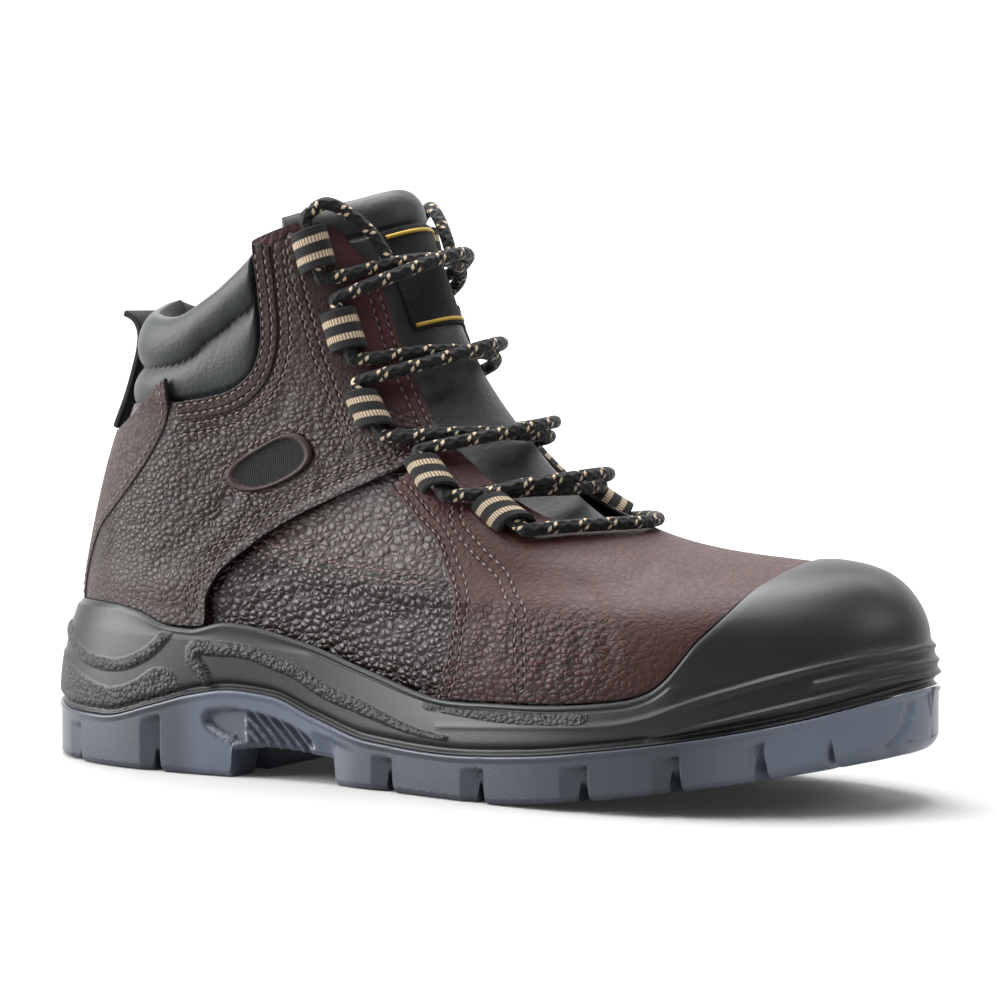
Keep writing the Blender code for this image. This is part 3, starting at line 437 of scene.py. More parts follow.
def leather(name, dark, light, pebble, depth, gloss, coat, shine):
    """Pebbles are soft domes over a warped Voronoi pattern, of the given width and depth in millimetres."""
    made, tree, shader, place = new_material(name)
    wander = add(tree, "TexNoise", {"Vector": place, "Scale": 1 / (7 * MM), "Detail": 2.0}).outputs["Color"]
    shifted = add(tree, "VectorMath", {0: wander, 1: PEBBLE_WANDER}, operation="MULTIPLY").outputs[0]
    warped = add(tree, "VectorMath", {0: place, 1: shifted}, operation="ADD").outputs[0]
    longer = add(tree, "VectorMath", {0: warped, 1: PEBBLE_STRETCH}, operation="MULTIPLY").outputs[0]
    grain = {"Vector": longer, "Scale": 1 / (pebble * MM), "Randomness": PEBBLE_SPREAD}
    middle = add(tree, "TexVoronoi", grain, feature="F1").outputs["Distance"]
    crown = add(
        tree, "MapRange",
        {"Value": middle, "From Min": 0.1, "From Max": 0.85, "To Min": 1.0, "To Max": 0.0},
        interpolation_type="SMOOTHSTEP",
    ).outputs[0]
    cracks = add(tree, "TexVoronoi", grain, feature="DISTANCE_TO_EDGE").outputs["Distance"]
    ground = add(
        tree, "MapRange", {"Value": cracks, "From Max": CRACK_WIDTH}, interpolation_type="SMOOTHSTEP"
    ).outputs[0]
    dome = add(tree, "Mix", {0: CRACK_SHARE, 2: crown, 3: ground}, data_type="FLOAT").outputs[0]
    mottle = add(tree, "TexNoise", {"Vector": place, "Scale": 1 / (20 * MM), "Detail": 4.0}).outputs["Fac"]
    uneven = add(
        tree, "MapRange",
        {"Value": mottle, "From Min": 0.3, "From Max": 0.7, "To Min": 0.6, "To Max": 1.15},
    ).outputs[0]
    marked, twin, blush, edge = (
        add(tree, "Attribute", attribute_name=key).outputs["Fac"]
        for key in ("pebble", "twin", "blush", "edge")
    )
    strength = add(tree, "Math", {0: marked, 1: uneven}, operation="MULTIPLY").outputs[0]
    pebbles = add(tree, "Math", {0: dome, 1: strength}, operation="MULTIPLY").outputs[0]
    fine = add(tree, "TexNoise", {"Vector": place, "Scale": 1 / (0.9 * MM), "Detail": 4.0, "Roughness": 0.6})
    pores = add(tree, "TexVoronoi", {"Vector": warped, "Scale": 1 / (1.3 * MM)}, feature="F1")
    pits = add(tree, "MapRange", {"Value": pores.outputs["Distance"], "From Max": 0.3}).outputs[0]
    row = add(tree, "Math", {0: twin, 1: TWIN_ROW}, operation="SUBTRACT").outputs[0]
    row = add(tree, "Math", {0: row}, operation="ABSOLUTE").outputs[0]
    groove = add(
        tree, "MapRange", {"Value": row, "From Max": STITCH_GROOVE}, interpolation_type="SMOOTHSTEP"
    ).outputs[0]
    below = {}
    layers = ((fine.outputs["Fac"], 0.2), (pits, 0.12), (pebbles, depth), (groove, GROOVE_DEPTH))
    for height, deep in layers:
        bump = add(tree, "Bump", {"Height": height, "Distance": deep * MM, **below})
        below = {"Normal": bump.outputs[0]}
    # Painted shade: the valleys between the pebbles are mixed towards a near-black brown.
    valley_shade = add(tree, "Math", {0: 1.0, 1: dome}, operation="SUBTRACT").outputs[0]
    valley_shade = add(tree, "Math", {0: valley_shade, 1: strength}, operation="MULTIPLY").outputs[0]
    # Painted shade: the grooves of the sewing are mixed towards a near-black brown.
    groove_shade = add(tree, "MapRange", {"Value": groove, "To Min": 0.75, "To Max": 0.0}).outputs[0]
    worn = add(
        tree, "MapRange",
        {"Value": edge, "From Min": 0.1, "From Max": 1.3, "To Min": 0.7, "To Max": 0.0},
        interpolation_type="SMOOTHSTEP",
    ).outputs[0]
    colour = add(tree, "Mix", {0: mottle, 6: linear(dark), 7: linear(light)}, data_type="RGBA").outputs[2]
    for share, tone in ((blush, BLUSH), (valley_shade, PEBBLE_VALLEY_SHADE), (groove_shade, SEWING_GROOVE_SHADE), (worn, BURNISHED)):
        colour = add(tree, "Mix", {0: share, 6: colour, 7: linear(tone)}, data_type="RGBA").outputs[2]
    rough = add(tree, "MapRange", {"Value": pebbles, "To Min": gloss + 0.24, "To Max": gloss - 0.06})
    finish_with(
        tree, shader, Base_Color=colour, Roughness=rough.outputs[0], Normal=bump.outputs[0],
        Coat_Weight=coat, Coat_Roughness=0.25, IOR=1.46, Specular_IOR_Level=shine,
    )
    return made


quarter_leather = leather("tumbled_cowhide_polished", "#1b0b09", "#29130f", 1.7, 0.65, 0.31, 0.04, 0.31)
vamp_leather = leather("smooth_cowhide_waxed", "#280d0a", "#371711", 1.8, 0.45, 0.38, 0.02, 0.29)
upper_leather = leather("tumbled_cowhide_coarse", "#150908", "#210f0c", 2.1, 1.05, 0.24, 0.04, 0.38)
facing_leather = leather("buffed_cowhide_facing", "#2a1e1b", "#3a2b27", 1.1, 0.16, 0.66, 0.0, 0.3)
brushed_leather = leather("brushed_split_leather", "#281a16", "#3f2e28", 1.4, 0.25, 0.55, 0.0, 0.4)
print("leathers:", 5)

# %% [markdown]
# The footbed and the lining have a short nap, which scatters light: no highlight, a soft rim and cloudy
# patches. The collar and the tongue are a knit with a soft coating. The rubbers are moulded: the mould's
# polish makes them satin, and a band that was spark-eroded in the mould comes out gritty.


# %% Cloths and rubbers
def napped(name, dark, light, nap, sheen):
    """Short fibres: fine noise for the nap in the given millimetres and broad clouds for the stroke."""
    made, tree, shader, place = new_material(name)
    clouds = add(
        tree, "TexNoise", {"Vector": place, "Scale": 1 / (14 * MM), "Detail": 5.0, "Roughness": 0.65}
    )
    fibre = add(tree, "TexNoise", {"Vector": place, "Scale": 1 / (nap * MM), "Detail": 4.0, "Roughness": 0.7})
    both = add(tree, "Math", {0: clouds.outputs["Fac"], 1: fibre.outputs["Fac"]}, operation="ADD")
    share = add(tree, "MapRange", {"Value": both.outputs[0], "From Min": 0.6, "From Max": 1.4})
    body = add(
        tree, "Mix", {0: share.outputs[0], 6: linear(dark), 7: linear(light)}, data_type="RGBA"
    )
    bump = add(tree, "Bump", {"Height": fibre.outputs["Fac"], "Distance": 0.18 * MM})
    finish_with(
        tree, shader, Base_Color=body.outputs[2], Roughness=0.92, Normal=bump.outputs[0],
        Sheen_Weight=sheen, Sheen_Roughness=0.5, Specular_IOR_Level=0.2,
    )
    return made


footbed_felt = napped("needled_felt", "#161618", "#26262a", 0.9, 0.1)
lining_cloth = napped("brushed_lining_cloth", "#0f0f10", "#1c1c1e", 0.6, 0.1)


def coated_cloth(name, dark, light, grain, gloss):
    """Padded collar cloth: a tight knit with a soft coating, so a fine grain under a low sheen."""
    made, tree, shader, place = new_material(name)
    cells = add(
        tree, "TexVoronoi", {"Vector": place, "Scale": 1 / (grain * MM)}, feature="SMOOTH_F1"
    )
    fine = add(tree, "TexNoise", {"Vector": place, "Scale": 1 / (0.5 * MM), "Detail": 2.0})
    clouds = add(tree, "TexNoise", {"Vector": place, "Scale": 1 / (25 * MM), "Detail": 3.0})
    body = add(
        tree, "Mix", {0: clouds.outputs["Fac"], 6: linear(dark), 7: linear(light)}, data_type="RGBA"
    )
    bump = add(tree, "Bump", {"Height": fine.outputs["Fac"], "Distance": 0.06 * MM})
    bump = add(
        tree, "Bump", {"Height": cells.outputs["Distance"], "Distance": 0.12 * MM, "Normal": bump.outputs[0]}
    )
    finish_with(
        tree, shader, Base_Color=body.outputs[2], Roughness=gloss, Normal=bump.outputs[0],
        Sheen_Weight=0.05, Sheen_Roughness=0.4, Specular_IOR_Level=0.4,
    )
    return made


collar_cloth = coated_cloth("coated_collar_knit", "#14181a", "#1c2123", 1.1, 0.56)
tongue_cloth = coated_cloth("coated_tongue_knit", "#09090a", "#111112", 1.8, 0.48)


def moulded(name, dark, light, grit, gloss, coat):
    """Moulded rubber: satin, gritty where the rough mark asks for it, and paler with painted light where the
    second mark asks for it.
    """
    made, tree, shader, place = new_material(name)
    clouds = add(tree, "TexNoise", {"Vector": place, "Scale": 1 / (30 * MM), "Detail": 4.0})
    skin = add(tree, "TexNoise", {"Vector": place, "Scale": 1 / (0.7 * MM), "Detail": 2.0})
    grains = add(tree, "TexVoronoi", {"Vector": place, "Scale": 1 / (grit * MM)}, feature="F1")
    sparks = add(tree, "TexNoise", {"Vector": place, "Scale": 1.5 / (grit * MM), "Detail": 2.0})
    stony = add(tree, "Math", {0: sparks.outputs["Fac"], 1: grains.outputs["Distance"]}, operation="SUBTRACT")
    mask = add(tree, "Attribute", attribute_name="rough").outputs["Fac"]
    rough_height = add(tree, "Math", {0: stony.outputs[0], 1: mask}, operation="MULTIPLY")
    bump = add(tree, "Bump", {"Height": skin.outputs["Fac"], "Distance": 0.05 * MM})
    bump = add(
        tree, "Bump",
        {"Height": rough_height.outputs[0], "Distance": 0.65 * MM, "Normal": bump.outputs[0]},
    )
    body = add(
        tree, "Mix", {0: clouds.outputs["Fac"], 6: linear(dark), 7: linear(light)}, data_type="RGBA"
    )
    # Painted light: the second mark mixes the rubber towards a pale grey-blue.
    painted_light = add(tree, "Attribute", attribute_name="painted_light").outputs["Fac"]
    painted_pale = add(tree, "Mix", {0: painted_light, 6: body.outputs[2], 7: linear("#646d7c")}, data_type="RGBA")
    gloss_map = add(tree, "MapRange", {"Value": mask, "To Min": gloss, "To Max": 0.5})
    finish_with(
        tree, shader, Base_Color=painted_pale.outputs[2], Roughness=gloss_map.outputs[0], Normal=bump.outputs[0],
        Coat_Weight=coat, Coat_Roughness=0.3, IOR=1.5, Specular_IOR_Level=0.36,
    )
    return made


midsole_rubber = moulded("foamed_rubber_moulded", "#0d0e10", "#141517", 1.5, 0.43, 0.0)
outsole_rubber = moulded("smoke_rubber_moulded", "#22262e", "#31363f", 0.8, 0.36, 0.15)
print("rubbers and cloths:", 6)

# %% [markdown]
# Webbing and cord are woven, so their threads follow the strap, not the room. The strap carries two
# marks: millimetres across it and along it. Two cream stripes run along each loop, and the lace has cream
# flecks.

# %% Webbing, cord and thread
THREAD = 0.9


def webbing(name, ground, stripe, stripe_at, stripe_half):
    """Weave: waves across and along the strap, multiplied. Stripes run at plus and minus one place."""
    made, tree, shader, _ = new_material(name)
    across = add(tree, "Attribute", attribute_name="across").outputs["Fac"]
    along = add(tree, "Attribute", attribute_name="along").outputs["Fac"]
    turn = 2 * np.pi / THREAD
    weft = add(tree, "Math", {0: along, 1: turn}, operation="MULTIPLY")
    weft = add(tree, "Math", {0: weft.outputs[0]}, operation="SINE")
    warp = add(tree, "Math", {0: across, 1: turn}, operation="MULTIPLY")
    warp = add(tree, "Math", {0: warp.outputs[0]}, operation="SINE")
    weave = add(tree, "Math", {0: weft.outputs[0], 1: warp.outputs[0]}, operation="MULTIPLY")
    middle = add(tree, "Math", {0: across}, operation="ABSOLUTE")
    middle = add(tree, "Math", {0: middle.outputs[0], 1: stripe_at}, operation="SUBTRACT")
    middle = add(tree, "Math", {0: middle.outputs[0]}, operation="ABSOLUTE")
    inside = add(
        tree,
        "MapRange",
        {"Value": middle.outputs[0], "From Min": stripe_half, "From Max": stripe_half - 0.25},
    )
    picks = add(
        tree, "MapRange", {"Value": weft.outputs[0], "From Min": -0.7, "From Max": 0.1, "To Min": 0.25}
    )
    shown = add(tree, "Math", {0: inside.outputs[0], 1: picks.outputs[0]}, operation="MULTIPLY")
    body = add(
        tree, "Mix", {0: shown.outputs[0], 6: linear(ground), 7: linear(stripe)}, data_type="RGBA"
    )
    bump = add(tree, "Bump", {"Height": weave.outputs[0], "Distance": 0.12 * MM})
    finish_with(
        tree, shader, Base_Color=body.outputs[2], Roughness=0.8, Normal=bump.outputs[0],
        Sheen_Weight=0.04, Sheen_Roughness=0.5, Specular_IOR_Level=0.25,
    )
    return made


loop_webbing = webbing("woven_polyester_striped", "#080808", "#a8967f", 2.7, 1.2)
plain_webbing = webbing("woven_polyester_black", "#070707", "#070707", 3.0, 0.8)

FLECK_PITCH, FLECK_HALF, FLECK_GAP, FLECK_PAIR = 10.0, 0.7, 2.6, 1.0
PLAITS, PLAIT_PITCH = 8.0, 4.2


def braided(name, ground, fleck):
    """Round braid: two helical waves crossed on the cord's own map, with pairs of cream flecks along it."""
    made, tree, shader, _ = new_material(name)
    mapped = add(tree, "UVMap", uv_map="cord").outputs[0]
    parts = add(tree, "SeparateXYZ", {0: mapped})
    waves = []
    for way in (1, -1):
        spin = add(tree, "Math", {0: parts.outputs[0], 1: way * PLAITS * np.pi}, operation="MULTIPLY")
        run = add(tree, "Math", {0: parts.outputs[1], 1: 2 * np.pi / PLAIT_PITCH}, operation="MULTIPLY")
        both = add(tree, "Math", {0: spin.outputs[0], 1: run.outputs[0]}, operation="ADD")
        waves.append(add(tree, "Math", {0: both.outputs[0]}, operation="SINE").outputs[0])
    plait = add(tree, "Math", {0: waves[0], 1: waves[1]}, operation="MAXIMUM")
    run = add(tree, "Math", {0: parts.outputs[1], 1: FLECK_PITCH}, operation="MODULO")
    first = add(tree, "Math", {0: run.outputs[0], 1: FLECK_GAP}, operation="SUBTRACT")
    first = add(tree, "Math", {0: first.outputs[0]}, operation="ABSOLUTE")
    first = add(tree, "Math", {0: first.outputs[0], 1: FLECK_PAIR}, operation="SUBTRACT")
    first = add(tree, "Math", {0: first.outputs[0]}, operation="ABSOLUTE")
    near = add(
        tree, "MapRange", {"Value": first.outputs[0], "From Min": FLECK_HALF, "From Max": FLECK_HALF - 0.3}
    )
    on_thread = add(tree, "MapRange", {"Value": waves[0], "From Min": 0.1, "From Max": 0.4})
    shown = add(tree, "Math", {0: near.outputs[0], 1: on_thread.outputs[0]}, operation="MULTIPLY")
    body = add(
        tree, "Mix", {0: shown.outputs[0], 6: linear(ground), 7: linear(fleck)}, data_type="RGBA"
    )
    bump = add(tree, "Bump", {"Height": plait.outputs[0], "Distance": 0.25 * MM})
    finish_with(
        tree, shader, Base_Color=body.outputs[2], Roughness=0.75, Normal=bump.outputs[0],
        Sheen_Weight=0.04, Sheen_Roughness=0.5, Specular_IOR_Level=0.25,
    )
    return made


lace_cord = braided("braided_polyester_cord", "#090909", "#b09e86")


def spun(name, colour, gloss, metallic=0.0):
    """Twisted thread or gilt foil: a fine fibre noise between one colour and a darker shade of it."""
    made, tree, shader, place = new_material(name)
    fibre = add(tree, "TexNoise", {"Vector": place, "Scale": 1 / (0.35 * MM), "Detail": 2.0})
    body = add(
        tree,
        "Mix",
        {0: fibre.outputs["Fac"], 6: linear(colour), 7: tuple(0.6 * c for c in linear(colour)[:3]) + (1,)},
        data_type="RGBA",
    )
    bump = add(tree, "Bump", {"Height": fibre.outputs["Fac"], "Distance": 0.05 * MM})
    finish_with(
        tree, shader, Base_Color=body.outputs[2], Roughness=gloss, Normal=bump.outputs[0], Metallic=metallic
    )
    return made


seam_thread = spun("bonded_polyester_thread", "#66504b", 0.6)
dark_thread = spun("bonded_polyester_thread_dark", "#1a1b1b", 0.6)
gilt_edge = spun("gilt_woven_edge", "#b08f30", 0.45, 0.3)
print("threads:", 3)

# %% [markdown]
# Turning grids into meshes. A wall is two grids of points a thickness apart, with a strip round every
# border edge, which gives a closed body whatever the outline. Bevel then rounds the cut edge of the
# leather.

# %% Mesh helpers
FAR = 50.0


def grid_quads(rows, columns, wrap=False):
    """Corner numbers of every cell of a grid of points, counted along its rows."""
    index = np.arange(rows * columns).reshape(rows, columns)
    left, right = (index, np.roll(index, -1, 1)) if wrap else (index[:, :-1], index[:, 1:])
    return np.stack([left[:-1], right[:-1], right[1:], left[1:]], -1)


def end_fans(count, sides):
    """Triangles that close a tube of count points: its end rings to the two points that follow them."""
    first = np.arange(sides)
    last = first + count - sides
    near = np.stack([np.roll(first, -1), first, np.full(sides, count)], -1)
    return np.concatenate([near, np.stack([last, np.roll(last, -1), np.full(sides, count + 1)], -1)])


def add_piece(name, points, faces, finishes, nodes=(), marks=None, which=None, corners=None):
    """Puts arrays into a smooth-shaded mesh that rides on the boot. faces is a list of index arrays."""
    loops = np.concatenate([f.ravel() for f in faces])
    used = np.unique(loops)
    order = np.zeros(len(points), int)
    order[used] = np.arange(len(used))
    mesh = bpy.data.meshes.new(name)
    mesh.vertices.add(len(used))
    mesh.vertices.foreach_set("co", ((points[used] - FOOTPRINT_CENTRE) * MM).ravel())
    sizes = np.concatenate([np.full(len(f), f.shape[1]) for f in faces])
    mesh.loops.add(len(loops))
    mesh.loops.foreach_set("vertex_index", order[loops])
    mesh.polygons.add(len(sizes))
    mesh.polygons.foreach_set("loop_start", np.concatenate([[0], np.cumsum(sizes)[:-1]]))
    if which is not None:
        mesh.polygons.foreach_set("material_index", which)
    mesh.update(calc_edges=True)
    for key, values in (marks or {}).items():
        layer = mesh.attributes.new(key, "FLOAT", "POINT")
        layer.data.foreach_set("value", np.asarray(values, float).ravel()[used])
    if corners is not None:
        mesh.uv_layers.new(name="cord").data.foreach_set("uv", corners.ravel())
    for finish in finishes:
        mesh.materials.append(finish)
    mesh.shade_smooth()
    mesh.validate()
    piece = bpy.data.objects.new(name, mesh)
    bpy.context.scene.collection.objects.link(piece)
    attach(piece, "root")
    if nodes:
        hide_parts(*nodes)
    print(name, len(mesh.polygons), "faces")
    return piece


def add_wall(name, outer, inner, finishes, slot, nodes, marks=None, inside=None, wrap=False, keep=None):
    """Closed body between two like grids, with a strip of quads round every open edge of the kept cells.

    Marks are given on one grid and serve both. A second finish lies on the inner face, or where inside says.
    """
    rows, columns = outer.shape[:2]
    front = grid_quads(rows, columns, wrap)
    front = front.reshape(-1, 4) if keep is None else front[keep]
    count = rows * columns
    start, end = front.ravel(), np.roll(front, -1, axis=1).ravel()
    lone = ~np.isin(start * count + end, end * count + start)
    start, end = start[lone], end[lone]
    sides = np.stack([end, start, start + count, end + count], -1)
    quads = np.concatenate([front, front[:, ::-1] + count, sides])
    which = np.zeros(len(quads), int)
    if inside is not None:
        which = inside.ravel()[quads[:, 0] % count].astype(int)
    elif len(finishes) > 1:
        which[len(front) : 2 * len(front)] = 1
    points = np.concatenate([outer.reshape(-1, 3), inner.reshape(-1, 3)])
    marks = {key: np.tile(np.broadcast_to(v, (rows, columns)).ravel(), 2) for key, v in (marks or {}).items()}
    return add_piece(name, points, [quads], finishes, nodes, marks, which)


def round_edges(piece, width, segments=2, angle=50):
    """Bevel on the sharp edges: the width is the radius of a cut and burnished edge, in millimetres."""
    bevel = piece.modifiers.new("edge", "BEVEL")
    bevel.width = width * MM
    bevel.segments = segments
    bevel.limit_method = "ANGLE"
    bevel.angle_limit = np.radians(angle)


def add_shell(
    name, grid, outer, inner, finishes, slot, nodes, seams=(), pebble=0.3, blush=0.0, wrap=False, keep=None
):
    """A leather panel: a wall with marks for its pebble, its distance to the sewing and to its cut edge."""
    t, a = grid
    outside = lifted(t, a, outer)
    border = np.concatenate([outside[0], outside[-1], outside[:, 0], outside[:, -1]])
    twin = edge = np.full(t.shape, FAR)
    for seam in seams:
        twin = np.minimum(twin, nearest(outside, lifted(*seam.T, PANEL_LIFT))[0])
    if not wrap:
        edge = np.minimum(nearest(outside, border)[0], FAR)
    marks = {"pebble": pebble, "blush": blush, "twin": twin, "edge": edge}
    return add_wall(name, outside, lifted(t, a, inner), finishes, slot, nodes, marks, None, wrap, keep)


print("mesh helpers ready")

# %% [markdown]
# Stitches. A lockstitch is a short raised stroke of thread that dives into the leather at both ends, so
# each one is a small spindle laid on the surface. Hundreds are needed, so a spindle has thirty faces and
# all of a panel's stitches are one mesh.

# %% Stitch maker
STITCH_LENGTH, STITCH_PITCH, STITCH_RADIUS = 2.25, 3.0, 0.4
SPINDLE_SIDES = 6
SPINDLE = np.array([(-0.38, 0.72), (-0.13, 1.0), (0.13, 1.0), (0.38, 0.72)])


def sewn_row(line, lift, shift=0.0):
    """Places, directions and normals of the stitches along a path moved sideways by shift millimetres.

    The lift is a number, or a function of ring and turn on a panel that is creased.
    """
    moved = drawn_beside(line, shift, 4) if shift else line
    points = lifted(*moved.T, lift(*moved.T) if callable(lift) else lift)
    run = run_along(points)
    middles = np.arange(STITCH_PITCH / 2, run[-1], STITCH_PITCH)
    place, ahead, out = (
        np.stack([np.interp(middles, run, part) for part in values.T], -1)
        for values in (points, np.gradient(points, axis=0), normal(*moved.T))
    )
    return place, unit(ahead), unit(out)


def twin_rows(line, lift):
    return [sewn_row(line, lift, shift) for shift in (TWIN_ROW, -TWIN_ROW)]


def add_stitches(name, rows, thread):
    """All the spindles of one panel: a six-sided ring at each place of the spindle table, and two tips."""
    place, ahead, out = (np.concatenate(part) for part in zip(*rows))
    turn = (np.arange(SPINDLE_SIDES) * 2 * np.pi / SPINDLE_SIDES)[:, None, None]
    reach, swell = SPINDLE.T[:, :, None, None, None]
    ring = np.cos(turn) * np.cross(ahead, out) + np.sin(turn) * out
    body = place + STITCH_LENGTH * reach * ahead + STITCH_RADIUS * (swell * ring - (1 - swell) * out)
    count = len(SPINDLE) * SPINDLE_SIDES
    body = np.moveaxis(body, 2, 0).reshape(len(place), count, 3)
    tips = [(place + f * STITCH_LENGTH * ahead - STITCH_RADIUS * out)[:, None] for f in (-0.5, 0.5)]
    points = np.concatenate([body, *tips], 1)
    quads = grid_quads(len(SPINDLE), SPINDLE_SIDES, True).reshape(-1, 4)
    start = np.arange(len(place))[:, None, None] * (count + 2)
    faces = [(quads + start).reshape(-1, 4), (end_fans(count, SPINDLE_SIDES) + start).reshape(-1, 3)]
    return add_piece(name, points.reshape(-1, 3), faces, [thread])


print("stitch:", STITCH_LENGTH, "mm long every", STITCH_PITCH, "mm")

# %% [markdown]
# The lasted upper. On the real boot this is the lining with the middle panel of leather, the part that
# shows between the rear quarter, the vamp and the sole. It is one wall: full rings up to the throat and
# then two sides up to the top line. The tumbled grain grows coarse towards the sole, and the diagonal
# pulls above it are where the last stretches the hide.

# %% Upper
UPPER_COLUMNS, CUP_ROWS, BAND_ROWS, SIDE_ROWS = 300, 6, 56, 46
THROAT_COLUMN = 130
COARSE, COARSE_LOSS, COARSE_SPAN = 1.0, 0.45, (4.2, 5.2)
BROWN, BROWN_START, BROWN_END = 0.16, (4.3, 5.0), (7.0, 6.0)
PULLS = (
    Crease(4.95, 0.400, 5.75, 0.540, 1.9, 0.40), Crease(4.70, 0.430, 5.50, 0.560, 1.8, 0.35),
    Crease(4.55, 0.490, 5.35, 0.600, 2.0, 0.45), Crease(4.60, 0.550, 5.60, 0.650, 1.9, 0.40),
    Crease(3.60, 0.350, 4.20, 0.420, 2.2, 0.35), Crease(2.70, 0.420, 4.00, 0.520, 2.4, 0.40),
    Crease(2.40, 0.340, 3.20, 0.420, 2.4, 0.35), Crease(1.90, 0.470, 3.40, 0.550, 2.4, 0.40),
)
MIDDLE_SEAM = path([(5.06, 0.396), (4.71, 0.433), (4.50, 0.487), (4.48, 0.555), (4.55, 0.638)])


def two_sided(creases):
    return creases + tuple(c._replace(a=2 - c.a, end_a=2 - c.end_a) for c in creases)


def shell_height(t, a):
    return SHELL_LIFT + creased(t, a, two_sided(PULLS))


turns = np.arange(UPPER_COLUMNS) * 2 / UPPER_COLUMNS
low_part = np.linspace(0, 1, CUP_ROWS)[:, None] * rim(turns)
high = np.linspace(0, 1, BAND_ROWS)[1:, None]
band_t = np.concatenate([low_part, (1 - high) * rim(turns) + high * THROAT_BASE])
band_a = np.broadcast_to(turns, band_t.shape)
top = follow(SHELL_TOP, folded(turns))
v = np.linspace(0, 1, SIDE_ROWS)[1:, None]
side_w = (1 - v) * folded(turns) + v * top[:, 1]
shell_t = np.concatenate([band_t, (1 - v) * THROAT_BASE + v * top[:, 0]])
shell_a = np.concatenate([band_a, np.where(turns > 1, 2 - side_w, side_w)])
keep = np.ones((len(shell_t) - 1, UPPER_COLUMNS), bool)
keep[len(band_t) - 1 :, THROAT_COLUMN : UPPER_COLUMNS - THROAT_COLUMN] = False
upper = add_shell(
    "upper_shell", (shell_t, shell_a), shell_height(shell_t, shell_a), SHELL_INNER_LIFT,
    [upper_leather, lining_cloth], "upper_leather", ["upper"], [MIDDLE_SEAM, other_side(MIDDLE_SEAM)],
    COARSE - COARSE_LOSS * smooth(shell_t, *COARSE_SPAN),
    BROWN * smooth(shell_t, *BROWN_START) * smooth(shell_t, *BROWN_END), True, keep,
)
round_edges(upper, 0.6)

# %% [markdown]
# The vamp covers the forefoot, from the scuff cap back to a double-sewn edge on each side, and its top
# edge is the foot of the throat. It is the smoothest hide on the boot, and it wrinkles finely only low
# down, behind the cap, where the toes bend it.

# %% Vamp
VAMP_GRID = (210, 80)
VAMP_SEAM_INSET, VAMP_LIP, VAMP_LIP_SPAN = 3.4, 0.45, (2.6, 1.2)
VAMP_GRAIN, WRINKLED, WRINKLED_RINGS, WRINKLED_TURNS = 0.28, 0.7, (4.4, 2.2), (0.77, 0.66)
TOP_GRAIN, TOP_GRAIN_SPAN, TOP_BLUSH, TOP_BLUSH_SPAN = 0.12, (4.6, 5.4), 0.25, (5.6, 6.6)
VAMP_SECOND = path(
    [
        (6.43, 0.847), (6.37, 0.815), (6.13, 0.780), (5.90, 0.765), (5.47, 0.752), (4.80, 0.728),
        (3.73, 0.671), (2.12, 0.626), (1.03, 0.620),
    ]
)
FLEX = (
    Crease(1.20, 0.575, 2.30, 0.600, 2.4, 0.40), Crease(1.10, 0.640, 2.20, 0.665, 2.2, 0.40),
    Crease(1.25, 0.675, 2.60, 0.690, 2.4, 0.45), Crease(1.60, 0.705, 3.10, 0.715, 2.6, 0.45),
    Crease(2.60, 0.600, 3.60, 0.640, 3.0, 0.35), Crease(3.20, 0.720, 4.40, 0.780, 3.6, 0.45),
    Crease(4.00, 0.800, 4.70, 0.900, 4.0, 0.35), Crease(4.90, 0.800, 5.30, 0.900, 4.0, 0.30),
)
vamp_edge = path(VAMP_SIDE)
vamp_seams = [drawn_beside(vamp_edge, -VAMP_SEAM_INSET), VAMP_SECOND]
vamp_seams += [other_side(line) for line in vamp_seams]
s = np.linspace(0, 1, VAMP_GRID[0] // 2)
low_a = VAMP_BACK_TURN + (1 - VAMP_BACK_TURN) * s
vamp_low = np.stack([s, rim(low_a) + VAMP_RIM_GAP, low_a], -1)
half_t, half_a = along_side(panel_grid(vamp_low, VAMP_TOP, len(s), VAMP_GRID[1]), VAMP_SIDE, SIDE_FADE)
vamp_t = np.concatenate([half_t, half_t[:, -2::-1]], 1)
vamp_a = np.concatenate([half_a, 2 - half_a[:, -2::-1]], 1)


def vamp_height(t, a):
    """Lift of the vamp: its creases, and a lip along the rear edge where the hide is turned and pressed."""
    rear = form(*vamp_edge.T)
    back = np.minimum(nearest(form(t, a), rear)[0], nearest(form(t, 2 - a), rear)[0])
    return PANEL_LIFT + creased(t, a, two_sided(FLEX)) + VAMP_LIP * smooth(back, *VAMP_LIP_SPAN)


wrinkles = WRINKLED * (smooth(vamp_t, *WRINKLED_RINGS) * smooth(folded(vamp_a), *WRINKLED_TURNS))
vamp = add_shell(
    "vamp_panel", (vamp_t, vamp_a), vamp_height(vamp_t, vamp_a), PANEL_INNER_LIFT,
    [vamp_leather], "vamp_leather", ["vamp"], vamp_seams,
    VAMP_GRAIN + wrinkles + TOP_GRAIN * smooth(vamp_t, *TOP_GRAIN_SPAN),
    TOP_BLUSH * smooth(vamp_t, *TOP_BLUSH_SPAN),
)
round_edges(vamp, 0.45)
add_stitches("vamp_stitches", sum([twin_rows(line, vamp_height) for line in vamp_seams], []), seam_thread)
middle_rows = sum([twin_rows(line, shell_height) for line in (MIDDLE_SEAM, other_side(MIDDLE_SEAM))], [])
add_stitches("middle_stitches", middle_rows, seam_thread)

# %% [markdown]
# The rear quarters wrap the heel and rise to the eyestay that carries the loops. Their lower edge is
# double sewn and stands over the middle panel with a dark step. A buffed strip faces the collar edge. The
# medial side isn't seen, so it mirrors the lateral one, without the badge.

